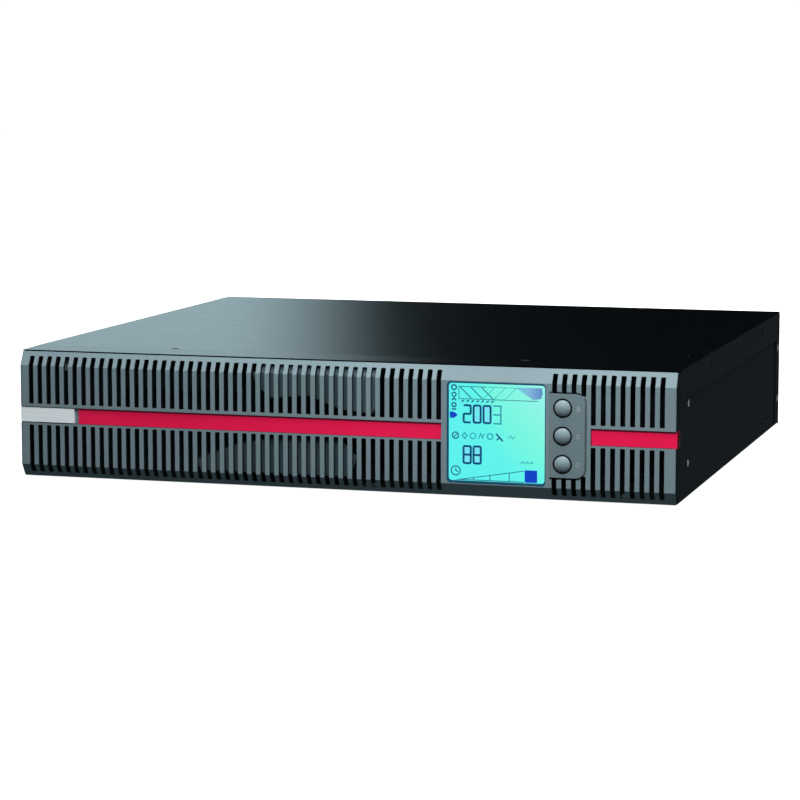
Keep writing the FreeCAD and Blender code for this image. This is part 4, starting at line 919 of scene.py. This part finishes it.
CROSS_DEPTH = 0.2 * MM                  # how far a drive cross reaches into the screw head
CROSS_PROUD = 0.03 * MM                 # how far it stands out of the head
CROSS_SHARE = 0.4                       # of the head's width
CROSS_BAR = 0.13                        # half a bar's width, as a share of the cross
FAN_CROSS = 3.6 * MM
SAME_POINT = 0.001 * MM                 # vertices closer than this are one
SCREEN_FRONT = FACE_Y + 3.2 * MM
SCREEN_REAR = SCREEN_FRONT + 0.3 * MM
SCREEN_TOP = 74                         # mm above the bezel's foot, where the lip begins
LIP_TOP = 79.2
LIP_LEAN = 2.7 * MM                     # how far the lip's upper edge lies behind its lower edge
LIP_ENDS = (-55.0, 26.0)


def cross(mesh, centre, normal_axis, side, size):
    """Two crossed dark bars standing a hair out of a screw head, painted shade of its drive recess; the axis
    is the one that the head faces.
    """
    half, thin = size / 2, size * CROSS_BAR
    for long_first in (True, False):
        reach = [half, thin] if long_first else [thin, half]
        low, high = [0, 0, 0], [0, 0, 0]
        plane = [axis for axis in range(3) if axis != normal_axis]
        for axis, extent in zip(plane, reach):
            low[axis] = centre[axis] - extent
            high[axis] = centre[axis] + extent
        head = centre[normal_axis]
        low[normal_axis], high[normal_axis] = sorted((head - side * CROSS_DEPTH, head + side * CROSS_PROUD))
        add_box(mesh, low, high)


def add_box(mesh, low, high):
    corners = []
    for x in (low[0], high[0]):
        for y in (low[1], high[1]):
            for z in (low[2], high[2]):
                corners.append(mesh.verts.new((x, y, z)))
    for face in ((0, 1, 3, 2), (4, 6, 7, 5), (0, 4, 5, 1), (2, 3, 7, 6), (0, 2, 6, 4), (1, 5, 7, 3)):
        mesh.faces.new([corners[index] for index in face])


def solids_of(node):
    """The box of each separate solid in a CAD node."""
    mesh = bmesh.new()
    mesh.from_mesh(nodes[node].data)
    bmesh.ops.remove_doubles(mesh, verts=mesh.verts, dist=SAME_POINT)
    mesh.verts.ensure_lookup_table()
    seen = set()
    boxes = []
    for start in mesh.verts:
        if start.index in seen:
            continue
        group, queue = [], [start]
        seen.add(start.index)
        while queue:
            vert = queue.pop()
            group.append(vert.co.copy())
            for edge in vert.link_edges:
                other = edge.other_vert(vert)
                if other.index not in seen:
                    seen.add(other.index)
                    queue.append(other)
        low = [min(co[axis] for co in group) for axis in range(3)]
        high = [max(co[axis] for co in group) for axis in range(3)]
        boxes.append((low, high))
    mesh.free()
    return boxes


def painted_shade_crosses(made):
    """Drive crosses, dark bars of painted shade where each screw's recess would lie in shade. The axis of a
    cover or side screw is guessed from its extents, which is right for the four side screws near the front
    only: the crosses of the other twelve lie unseen inside the case."""
    mesh = bmesh.new()
    for node in ("cover_screws", "side_screws"):
        for low, high in solids_of(node):
            centre = [(a + b) / 2 for a, b in zip(low, high)]
            extent = [b - a for a, b in zip(low, high)]
            axis = 0 if extent[0] >= extent[2] else 2
            side = 1 if centre[axis] > 0 else -1
            centre[axis] = high[axis] if side > 0 else low[axis]
            cross(mesh, centre, axis, side, CROSS_SHARE * max(extent))
    for low, high in solids_of("fan_screws"):
        centre = [(low[0] + high[0]) / 2, high[1], (low[2] + high[2]) / 2]
        cross(mesh, centre, 1, 1, FAN_CROSS)
    finish_mesh("painted_shade_crosses", mesh, made["recess"], "case")


def slot_screens(made):
    """Pale insulating sheets inside the bezel, seen through the left slots. The lip follows the chamfer."""
    upper = Sheet(0, BEZEL_LOW[2])
    top = SCREEN_TOP
    upper.shape([(-58, top), (-56, 66), (-46, 58), (-20, 60), (2, 52), (22, 50), (26, 56), (26, top)])
    upper.build("slot_screen_upper", SCREEN_FRONT, SCREEN_REAR, made["screen"], "bezel")
    low, high = [BEZEL_LOW[2] + height * MM for height in (SCREEN_TOP, LIP_TOP)]
    profile = ((SCREEN_FRONT, low), (SCREEN_REAR, low))
    profile += ((SCREEN_REAR + LIP_LEAN, high), (SCREEN_FRONT + LIP_LEAN, high))
    lip = bmesh.new()
    ends = [[lip.verts.new((x * MM, y, z)) for y, z in profile] for x in LIP_ENDS]
    for end in ends:
        lip.faces.new(end)
    join_lines(lip, ends[0], ends[1], True)
    finish_mesh("slot_screen_lip", lip, made["screen"], "bezel")
    lower = Sheet(0, BEZEL_LOW[2])
    lower.shape([(-94, 9), (8, 9), (12, 22), (2, 32), (-40, 33), (-72, 26), (-97, 16)])
    lower.build("slot_screen_lower", SCREEN_FRONT, SCREEN_REAR, made["screen"], "bezel")


# ---------------------------------------------------------------- all of it

make_camera()
make_world()
make_lights()
make_floor()
materials = make_materials()
dress_nodes(materials)
soften_edges()
dark_display_marks(materials)
faint_display_marks(materials)
blue_display_marks(materials)
violet_mark()
window_border(materials)
digit_glow(materials)
keypad_signs(materials)
button_rings(materials)
painted_shade_crosses(materials)
slot_screens(materials)
scene.view_settings.view_transform = "Standard"
